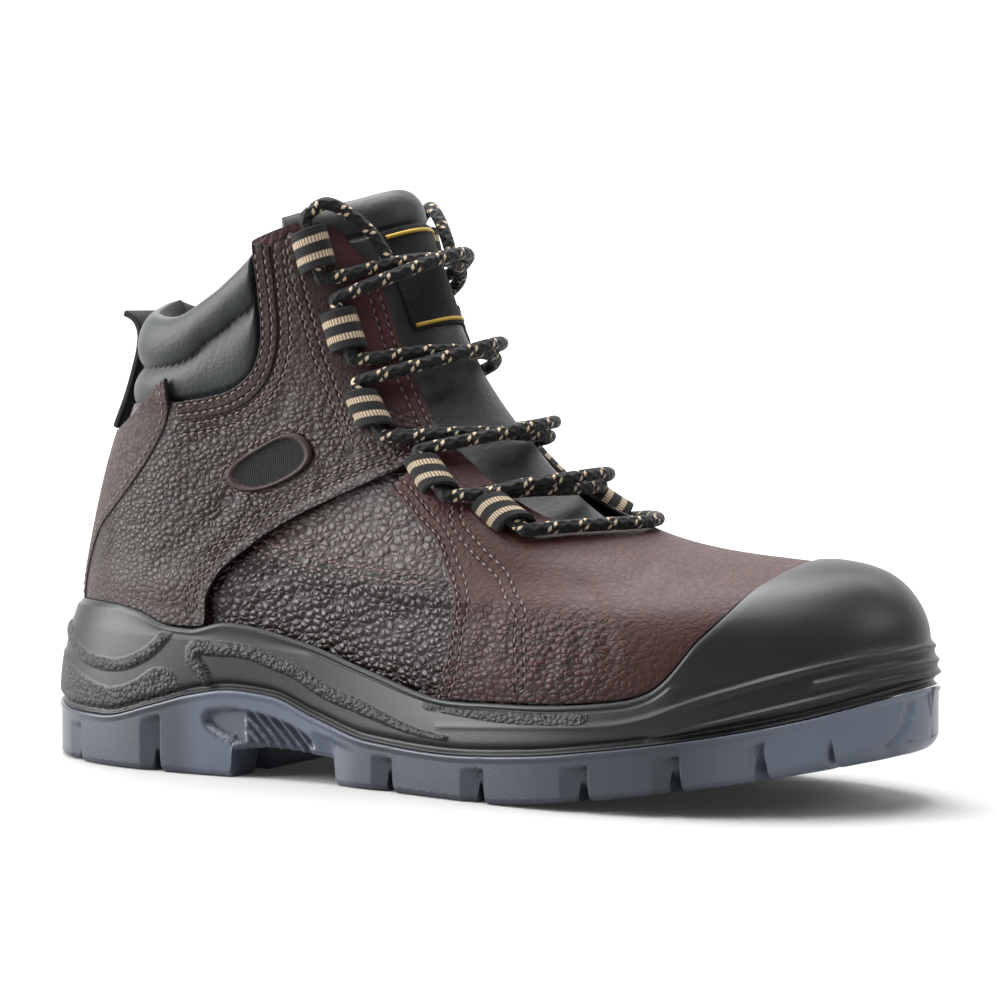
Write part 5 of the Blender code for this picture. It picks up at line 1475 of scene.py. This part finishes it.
# %% Midsole
# Rows of the distance round from the heel and of the height.
HEEL_SMILE = (
    (20, 43), (34.8, 38.9), (46, 34.9), (58, 33.3), (66, 33.4), (72.7, 35.1), (79.6, 38.5), (84.7, 43),
    (88, 47),
)
HEEL_WAVE = (
    (0, 36), (29.7, 34.2), (40, 30.2), (52, 27), (62, 25.4), (69.5, 26.9), (75.5, 29.4), (81, 33),
    (85.4, 33.5), (88.5, 32.6), (92.6, 28), (95, 24),
)
HOOK = (
    (101.9, 30.3), (99.4, 34.2), (96.9, 37.8), (97.6, 40.4), (101.7, 40.8), (107.9, 40.7), (117.1, 40.2),
    (126.4, 37.7), (136.9, 34.3), (143, 31.1), (157.2, 26.5), (171.6, 22.5), (186.6, 19.5), (195.3, 18.8),
)
BALL_STRIP = ((188, 29.4), (204.8, 28.4), (216, 27.9), (230, 28.1), (244, 28.9))
TOE_RIDGES = (
    (
        (359, 48.7), (341, 47.6), (327, 46.4), (313.5, 44.0), (301.4, 41.0), (289.5, 37.6), (277.9, 33.9),
        (264.2, 28.8), (237.3, 25.1), (192.2, 22.1),
    ),
    ((359, 44.0), (344.8, 43.6), (330, 42.2), (314.9, 39.6)),
    ((359, 40.4), (339, 39.4), (321.3, 36.4), (305.2, 32.9), (289.7, 29.2), (265.9, 22.6)),
)
SMILE_HALF, SMILE_RELIEF, HOOK_HALF, HOOK_RELIEF, HOOK_TAPER = 1.9, 1.1, 2.3, 1.3, 0.6
BELOW_ALL, WAVE_EDGE, WAVE_RELIEF = -20.0, 0.4, 0.5
STRIP_EDGE, STRIP_RELIEF = (2.9, 2.3), 0.35
RIDGE_HALF, RIDGE_RELIEF, RIDGE_LOSS, RIDGE_FADE = 0.9, 0.9, 0.75, (-270, -225)


def drawn(marks, step=0.5):
    """Even steps along the smooth line through marks of distance round and height."""
    rows = np.array(marks, float)
    gone = run_along(rows)
    return cubic(gone, rows, np.arange(0, gone[-1], step))


def side_relief(run, z):
    """Millimetres of moulded relief at a place of the side, and how rough its texture is there.

    The smile and the hook are half rounds, the wave and the strip are steps, and the ridges are soft bumps.
    """
    place = np.stack([run, z], -1)
    smile, _ = nearest(place, drawn(HEEL_SMILE))
    hook, along = nearest(place, drawn(HOOK))
    hook_half = HOOK_HALF * (1 - HOOK_TAPER * smooth(along, 0.6, 1.0))
    bands = [np.sqrt(np.clip(1 - share**2, 0, 1)) for share in (smile / SMILE_HALF, hook / hook_half)]
    wave = np.interp(run, *np.array(HEEL_WAVE).T, right=BELOW_ALL)
    low = smooth(wave - z, -WAVE_EDGE, WAVE_EDGE)
    strip = smooth(nearest(place, drawn(BALL_STRIP))[0], *STRIP_EDGE)
    relief = SMILE_RELIEF * bands[0] + HOOK_RELIEF * bands[1] + WAVE_RELIEF * low + STRIP_RELIEF * strip
    rough = np.max([smooth(bands[0], 0.05, 0.35), smooth(bands[1], 0.05, 0.35), low, strip], axis=0)
    fade = 1 - RIDGE_LOSS * smooth(-run, *RIDGE_FADE)
    for marks in TOE_RIDGES:
        relief += RIDGE_RELIEF * np.exp(-((nearest(place, drawn(marks))[0] / RIDGE_HALF) ** 2)) * fade
    return relief, rough


# %% [markdown]
# The midsole is one skin of rings, from the bottom of the cup up its inside, over the round lip of the
# rim, down the shoulder and down the wall to the joint with the outsole. A floor closes it inside and
# another below.

# %% Rings of the midsole
SOLE_COLUMNS, LIP_ROWS, SHOULDER_ROWS, WALL_ROWS = 960, 7, 18, 62
CUP_SHARES = (0.25, 0.5, 0.75, 0.93)
SHOULDER_SHARE, SHOULDER_DROP, SHOULDER_LIFT, SHOULDER_HOLLOW = 0.55, 0.8, 0.6, 0.5
BELOW_LIP, ABOVE_JOINT = (1.5, 3.5), (0.3, 2.6)
UNDERCUT, UNDERCUT_HEIGHT, UNDERCUT_HALF = 1.5, 1.5, 1.2
even_run = np.linspace(0, FINE_RUN[-1], SOLE_COLUMNS, endpoint=False)
turns = np.interp(even_run, FINE_RUN, FINE_TURNS)
rim_t = rim(turns)
run = heel_run(turns)
inside = lifted(0 * rim_t, turns, CUP_LIFT)
inside[:, 2] = form(0.0, turns)[:, 2] - CUP_DEPTH
rings = [inside] + [lifted(share * rim_t, turns, CUP_LIFT) for share in CUP_SHARES]
middle, half = (CUP_LIFT + RIM_LIFT) / 2, (RIM_LIFT - CUP_LIFT) / 2
ring_height = np.linalg.norm(slopes(rim_t, turns)[0], axis=-1)
lip_t = rim_t - half / ring_height
for turn in np.linspace(np.pi, 0, LIP_ROWS):
    rings.append(lifted(lip_t + half * np.sin(turn) / ring_height, turns, middle + half * np.cos(turn)))
rough_rows = [np.zeros(SOLE_COLUMNS)] * len(rings)
shoulder_t = np.minimum(1.0, SHOULDER_DROP * rim_t)
shoulder_lift = SHOULDER_SHARE * welt(turns) + SHOULDER_LIFT
for share in np.linspace(0, 1, SHOULDER_ROWS)[1:]:
    lift = RIM_LIFT + (shoulder_lift - RIM_LIFT) * np.sqrt(share)
    t = lip_t + (shoulder_t - lip_t) * share
    relief, rough = side_relief(run, lifted(t, turns, lift)[:, 2])
    below_lip = smooth((rim_t - t) * ring_height, *BELOW_LIP)
    rings.append(lifted(t, turns, lift + relief * below_lip - SHOULDER_HOLLOW * np.sin(np.pi * share)))
    rough_rows.append(rough * below_lip)
shoulder = lifted(shoulder_t, turns, shoulder_lift)
edge = outline(turns)
foot = joint_height(edge[:, 0]) + CLEARANCE
for share in np.linspace(0, 1, WALL_ROWS)[1:]:
    plan = shoulder[:, :2] + (edge - shoulder[:, :2]) * (1 - (1 - share) ** 2)
    z = shoulder[:, 2] + (foot - shoulder[:, 2]) * share
    relief, rough = side_relief(run, z)
    groove = -UNDERCUT * np.exp(-(((z - foot - UNDERCUT_HEIGHT) / UNDERCUT_HALF) ** 2))
    fade = smooth(z - foot, *ABOVE_JOINT)
    plan = plan + (relief * fade + groove)[:, None] * plan_normal(turns)
    rings.append(np.concatenate([plan, z[:, None]], 1))
    rough_rows.append(rough * fade)
quads = grid_quads(len(rings), SOLE_COLUMNS, True).reshape(-1, 4)[:, ::-1]
half_count = SOLE_COLUMNS // 2
near = np.arange(1, half_count - 1)
floor_quads = np.stack([near, near + 1, SOLE_COLUMNS - near - 1, SOLE_COLUMNS - near], -1)
floor_ends = np.array([[0, 1, SOLE_COLUMNS - 1], [half_count - 1, half_count, half_count + 1]])
under = (len(rings) - 1) * SOLE_COLUMNS
faces = [
    np.concatenate([quads, floor_quads, floor_quads[:, ::-1] + under]),
    np.concatenate([floor_ends, floor_ends[:, ::-1] + under]),
]
midsole = add_piece(
    "midsole_body", np.concatenate(rings), faces, [midsole_rubber], ["midsole"],
    {"rough": np.array(rough_rows)},
)

# %% [markdown]
# The outsole is a rubber plate with lugs. It is lofted through cross-sections: each one goes down the
# lateral wall, across the tread and up the medial wall. Behind each lug the wall slopes in as a cheek and
# steps out again at a slot. Slots and cheeks are placed by the distance round the outline, so they turn
# with the toe. The arch has a slanted ribbed window on each side. The rubber is painted paler at the toe
# and in the arch: painted light.

# %% Lugs, cheeks and windows
Slot = namedtuple("Slot", "run width cheek")
SLOTS = (
    Slot(45.5, 2.4, 8.0), Slot(84.0, 2.6, 8.0), Slot(173.5, 2.4, 8.5), Slot(210.3, 2.4, 9.0),
    Slot(247.0, 2.6, 9.0), Slot(275.5, 2.4, 8.0), Slot(300.5, 2.2, 5.5), Slot(320.4, 1.2, 0.0),
)
HEEL_BREAST, TREAD_START, START_CHEEK, START_RISE, START_SHARE = 89.0, 126.0, 8.0, 9, 0.7
LUG_REACH, GROOVE, LUG_START, LUG_EDGE, UNCUT = 15.0, 5.0, -0.1, 0.9, 99.0
CHEEK_DEPTH, CHEEK_START, CHEEK_STEP = 2.4, (3.6, 5.4), (0.3, -0.1)
WINDOW_SPAN, WINDOW_AXIS, WINDOW_EDGE = (77.0, 120.0), (18.5, 11.8), (1.0, 0.86)
WINDOW_HALF, WINDOW_DEPTH = 6.2, 2.6
RIB_START, RIB_PITCH, RIB_LEAN, RIB_HEIGHT = (92.0, 94.0), 3.9, 0.95, 2.3
JOINT_LIP, JOINT_LIP_SPAN = 0.5, (1.9, 1.1)
TOE_SLIT = ((347.0, 32.5), (346.2, 29.0), (343.0, 24.0), (338.0, 20.5), (333.0, 18.5))
SLIT_DEPTH, SLIT_SPAN = 0.9, (1.1, 0.5)


def lug_mask(run, x, inset):
    """1 on a lug and 0 in a slot, a groove or the arch, with a rounded edge between."""
    cut = np.full(np.shape(x), UNCUT)
    for slot in SLOTS:
        cut = np.minimum(cut, np.abs(run - slot.run + slot.width / 2) - slot.width / 2)
    cut = np.minimum(cut, np.maximum(HEEL_BREAST - x, x - TREAD_START))
    across = np.maximum(LUG_REACH - inset, inset - LUG_REACH - GROOVE)
    return smooth(cut, LUG_START, LUG_EDGE) * smooth(across, LUG_START, LUG_EDGE)


def window_relief(x, z):
    """A slanted oval pocket in the arch, with leaning ribs in its front part."""
    middle = np.mean(WINDOW_SPAN)
    along = (x - middle) / (WINDOW_SPAN[1] - middle)
    axis = WINDOW_AXIS[0] + (WINDOW_AXIS[1] - WINDOW_AXIS[0]) * (along + 1) / 2
    oval = np.hypot(along, (z - axis) / WINDOW_HALF)
    rib = 0.5 + 0.5 * np.cos(2 * np.pi * (x + RIB_LEAN * z) / RIB_PITCH)
    return smooth(oval, *WINDOW_EDGE) * (RIB_HEIGHT * rib**2 * smooth(x, *RIB_START) - WINDOW_DEPTH)


def wall_relief(run, x, z, top):
    """Relief of the wall: a lip under the joint, the cheeks, the window and the slit at the toe."""
    start = np.clip((TREAD_START + START_CHEEK - x) / START_CHEEK, 0, 1)
    cheek = START_SHARE * start * smooth(x, TREAD_START - START_RISE, TREAD_START)
    for slot in SLOTS:
        if slot.cheek:
            behind = np.clip((run - slot.run + slot.cheek) / slot.cheek, 0, 1)
            cheek = np.maximum(cheek, behind * smooth(run - slot.run, *CHEEK_STEP))
    cheek = cheek * smooth(top - z, *CHEEK_START)
    lip = JOINT_LIP * smooth(top - z, *JOINT_LIP_SPAN)
    slit = SLIT_DEPTH * smooth(nearest(np.stack([run, z], -1), drawn(TOE_SLIT))[0], *SLIT_SPAN)
    return lip - CHEEK_DEPTH * cheek + window_relief(x, z) - slit


# %% Stations along the outsole, closer at every edge
STATIONS_EVEN, STATION_MARGIN, WINDOW_STEP = 220, 2.0, 0.5
SLOT_STEPS = np.array([-0.6, -0.1, 0.3, 0.7, 1.2])
TOE_NUMBER = len(FINE_TURNS) // 2
base_run = np.linspace(STATION_MARGIN, LATERAL_RUN - STATION_MARGIN, STATIONS_EVEN)
cuts = [slot.run + SLOT_STEPS for slot in SLOTS]
cuts += [slot.run - slot.width - SLOT_STEPS for slot in SLOTS]
cuts += [slot.run - slot.cheek + SLOT_STEPS[:3] for slot in SLOTS]
window_x = np.arange(WINDOW_SPAN[0] - 1, WINDOW_SPAN[1] + 1, WINDOW_STEP)
arch_x = np.concatenate([HEEL_BREAST - SLOT_STEPS, TREAD_START + SLOT_STEPS, window_x])
arch_run = np.interp(arch_x, FINE_OUTLINE[: TOE_NUMBER + 1, 0], FINE_RUN[: TOE_NUMBER + 1])
section_run = np.unique(np.round(np.concatenate([base_run, *cuts, arch_run]), 2))
section_run = section_run[(section_run >= base_run[0]) & (section_run <= base_run[-1])]
lateral_a = np.interp(section_run, FINE_RUN[: TOE_NUMBER + 1], FINE_TURNS[: TOE_NUMBER + 1])
lateral_edge = outline(lateral_a)
stations = lateral_edge[:, 0]
medial_a = np.interp(stations, FINE_OUTLINE[TOE_NUMBER:, 0][::-1], FINE_TURNS[TOE_NUMBER:][::-1])
medial_edge = outline(medial_a)
joint = joint_height(stations)
print("outsole sections:", len(stations))

# %% Outsole
OUTSOLE_WALL, OUTSOLE_BOTTOM, OUTSOLE_TOP, WALL_POWER = 26, 52, 8, 1.15
LUG_ROUND, TOE_ROUND, TOE_ROUND_SPAN, WALL_INFLUENCE = 2.2, 5.0, (262.0, 300.0), 4.0
# Painted light: how much paler the rubber is painted at the toe and in the arch.
PAINTED_TOE_LIGHT, PAINTED_TOE_LIGHT_SPAN = 0.6, (245.0, 285.0)
PAINTED_ARCH_LIGHT, PAINTED_ARCH_LIGHT_START, PAINTED_ARCH_LIGHT_END = 0.35, (66.0, 78.0), (142.0, 124.0)


def between(share):
    """Points in plan that part each station, from its lateral to its medial edge, in the given shares."""
    y = lateral_edge[:, 1:] * (1 - share) + medial_edge[:, 1:] * share
    return np.broadcast_to(stations[:, None], y.shape), y


x, y = between((1 - np.cos(np.linspace(0, np.pi, OUTSOLE_BOTTOM))) / 2)
inset = nearest(np.stack([x, y], -1), FINE_OUTLINE[::2])[0]
plate = plate_height(x)
turn_in = LUG_ROUND + (TOE_ROUND - LUG_ROUND) * smooth(x, *TOE_ROUND_SPAN)
round_over = turn_in - np.sqrt(turn_in**2 - (turn_in - np.minimum(inset, turn_in)) ** 2)
bottom_z = plate + (tread_height(x) - plate) * lug_mask(section_run[:, None], x, inset) + round_over
bottom = np.stack([x, y, bottom_z], -1)


def outsole_wall(turns, low_z):
    """Rows from the joint down to the rounded foot of the wall, moved in and out by its relief."""
    edge = outline(turns)
    rows = []
    for f in np.linspace(0, 1, OUTSOLE_WALL, endpoint=False) ** WALL_POWER:
        z = joint + (low_z - joint) * f
        relief = wall_relief(section_run, edge[:, 0], z, joint) * smooth(f, 0.0, 0.02)
        rows.append(np.concatenate([edge + relief[:, None] * plan_normal(turns), z[:, None]], 1))
    return np.stack(rows, 1)


lateral_wall = outsole_wall(lateral_a, bottom_z[:, 0])
medial_wall = outsole_wall(medial_a, bottom_z[:, -1])
on_lateral = np.arange(OUTSOLE_BOTTOM) < OUTSOLE_BOTTOM / 2
for k, turns_at, nearer in ((0, lateral_a, on_lateral), (-1, medial_a, ~on_lateral)):
    shift = wall_relief(section_run, stations, bottom_z[:, k], joint)
    reach = np.exp(-((inset / WALL_INFLUENCE) ** 2)) * nearer
    bottom[..., :2] += (shift[:, None] * plan_normal(turns_at))[:, None, :] * reach[..., None]
top_x, top_y = between(np.linspace(1, 0, OUTSOLE_TOP + 2)[1:-1])
top_rows = np.stack([top_x, top_y, np.broadcast_to(joint[:, None], top_y.shape)], -1)
sections = np.concatenate([lateral_wall, bottom, medial_wall[:, ::-1], top_rows], 1)
count = sections.shape[1]
points = np.concatenate([sections.reshape(-1, 3), sections[[0, -1]].mean(1)])
faces = [grid_quads(len(stations), count, True).reshape(-1, 4), end_fans(len(stations) * count, count)]
x = points[:, 0]
# Painted light: paler rubber towards the toe and in the arch.
painted_light = PAINTED_TOE_LIGHT * smooth(x, *PAINTED_TOE_LIGHT_SPAN)
painted_light = painted_light + PAINTED_ARCH_LIGHT * smooth(x, *PAINTED_ARCH_LIGHT_START) * smooth(x, *PAINTED_ARCH_LIGHT_END)
outsole = add_piece(
    "outsole_tread", points, faces, [outsole_rubber], ["outsole"],
    {"rough": np.zeros(len(points)), "painted_light": painted_light},
)
for piece in (outsole, midsole):
    work = bmesh.new()
    work.from_mesh(piece.data)
    bmesh.ops.recalc_face_normals(work, faces=work.faces)
    work.to_mesh(piece.data)
    work.free()

# %% [markdown]
# The footbed is a felt sole laid in the cup. It shows only from above, through the collar.

# %% Footbed
INSOLE_INSET, INSOLE_THICKNESS, INSOLE_ROUND, ROUND_POWER = 5.2, 4.0, 0.9, 6
INSOLE_SPAN, INSOLE_ROWS, INSOLE_COLUMNS = (0.004, 0.996), 120, 26
w = np.linspace(*INSOLE_SPAN, INSOLE_ROWS)[:, None]
q = np.linspace(0, 1, INSOLE_COLUMNS)[None, :, None]


def footbed_edge(a):
    """Edge of the footbed on the floor of the cup, inset from the form's lowest ring."""
    base = form(0.0, a)
    plan = base[..., :2] - INSOLE_INSET * plan_normal(a)
    return np.concatenate([plan, base[..., 2:] - CUP_DEPTH + CLEARANCE], -1)


low = np.flip(footbed_edge(w) * (1 - q) + footbed_edge(2 - w) * q, 1)
crown = INSOLE_THICKNESS - INSOLE_ROUND * np.abs(2 * q - 1) ** ROUND_POWER
footbed = add_wall("footbed", low + crown * (0, 0, 1), low, [footbed_felt], "footbed_felt", ["insole"])

# %% [markdown]
# The studio: a pale floor that bends up into a white surround. A broad light overhead and one at the heel
# shape the leather, small ones lift the back and the toe, one washes the floor, and two light the
# backdrop. The camera stands where the photograph was taken from, thirty degrees ahead of the boot's
# lateral side.

# %% Floor
FLOOR_RADIUS, COVE_RADIUS, COVE_TOP, COVE_SIDES = 2.4, 0.9, 2.2, 96
FLOOR_MIDDLE, FLOOR_RINGS, BEND_RINGS, PAPER_GLOW = 0.05, 8, 24, 0.02
scene = bpy.context.scene
bend = np.linspace(-np.pi / 2, 0, BEND_RINGS)
profile = np.concatenate(
    [
        [(r, 0.0) for r in np.linspace(FLOOR_MIDDLE, FLOOR_RADIUS, FLOOR_RINGS)],
        np.stack([FLOOR_RADIUS + COVE_RADIUS * np.cos(bend), COVE_RADIUS * (1 + np.sin(bend))], -1)[1:],
        [(FLOOR_RADIUS + COVE_RADIUS, COVE_TOP)],
    ]
)
turn = np.arange(COVE_SIDES) * 2 * np.pi / COVE_SIDES
r, z = profile.T[:, :, None]
cove = np.stack([r * np.cos(turn), r * np.sin(turn), z + 0 * turn], -1)
cove_quads = grid_quads(len(profile), COVE_SIDES, True).reshape(-1, 4)[:, ::-1]
cove_mesh = bpy.data.meshes.new("studio_cove")
cove_mesh.from_pydata(cove.reshape(-1, 3).tolist(), [], cove_quads.tolist() + [list(range(COVE_SIDES))])
cove_mesh.shade_smooth()
paper, tree, shader, place = new_material("matt_studio_paper")
tone = add(tree, "TexNoise", {"Vector": place, "Scale": 3.0, "Detail": 2.0}).outputs["Fac"]
shade = add(tree, "Mix", {0: tone, 6: linear("#a2a2a2"), 7: linear("#a6a6a6")}, data_type="RGBA")
finish_with(
    tree, shader, Base_Color=shade.outputs[2], Roughness=0.95, Specular_IOR_Level=0.1,
    Emission_Color=(1, 1, 1, 1), Emission_Strength=PAPER_GLOW,
)
cove_mesh.materials.append(paper)
cove_piece = bpy.data.objects.new("studio_cove", cove_mesh)
scene.collection.objects.link(cove_piece)

# %% Light and camera
world = bpy.data.worlds.new("white_surround")
world.use_nodes = True
world.node_tree.nodes["Background"].inputs["Color"].default_value = (1, 1, 1, 1)
world.node_tree.nodes["Background"].inputs["Strength"].default_value = 0.05
scene.world = world
scene.view_settings.view_transform = "Standard"
Lamp = namedtuple("Lamp", "name place aim width height power spread")
LAMPS = (
    Lamp("overhead", (-0.22, 0.08, 1.40), (-0.05, 0.0, 0.05), 1.3, 1.0, 43.0, 180),
    Lamp("heel_side", (-1.15, -0.66, 0.54), (0.0, 0.0, 0.08), 1.1, 1.1, 48.0, 180),
    Lamp("heel_back", (-1.20, 0.85, 0.35), (-0.10, 0.0, 0.05), 0.6, 0.6, 1.5, 180),
    Lamp("toe_side", (1.25, 0.20, 0.80), (0.05, 0.0, 0.06), 0.5, 0.5, 5.0, 180),
    Lamp("floor_wash", (0.95, -1.15, 2.10), (0.95, -1.16, 0.0), 1.5, 1.5, 28.0, 70),
    Lamp("backdrop_left", (-1.30, 1.20, 1.80), (-1.20, 2.60, 0.30), 1.2, 1.2, 130.0, 180),
    Lamp("backdrop_right", (0.40, 1.60, 1.80), (-0.20, 3.00, 0.30), 1.2, 1.2, 130.0, 180),
)
CAMERA_PLACE, CAMERA_AIM, SENSOR, LENS = (0.54754, -0.95161, 0.15395), (0.0068, 0.0063, 0.0877), 36.0, 125.06


def stand(name, data, place, aim):
    """Stands a lamp or a camera at a place and turns it to look at another."""
    holder = bpy.data.objects.new(name, data)
    holder.location = place
    holder.rotation_euler = (Vector(aim) - Vector(place)).to_track_quat("-Z", "Y").to_euler()
    scene.collection.objects.link(holder)
    return holder


for lamp in LAMPS:
    light = bpy.data.lights.new(lamp.name, "AREA")
    light.shape = "RECTANGLE"
    light.size, light.size_y = lamp.width, lamp.height
    light.energy = lamp.power
    light.spread = np.radians(lamp.spread)
    stand(lamp.name, light, lamp.place, lamp.aim)
camera_data = bpy.data.cameras.new("camera")
camera_data.sensor_width = SENSOR
camera_data.lens = LENS
scene.camera = stand("camera", camera_data, CAMERA_PLACE, CAMERA_AIM)
print("studio:", len(LAMPS), "lamps")
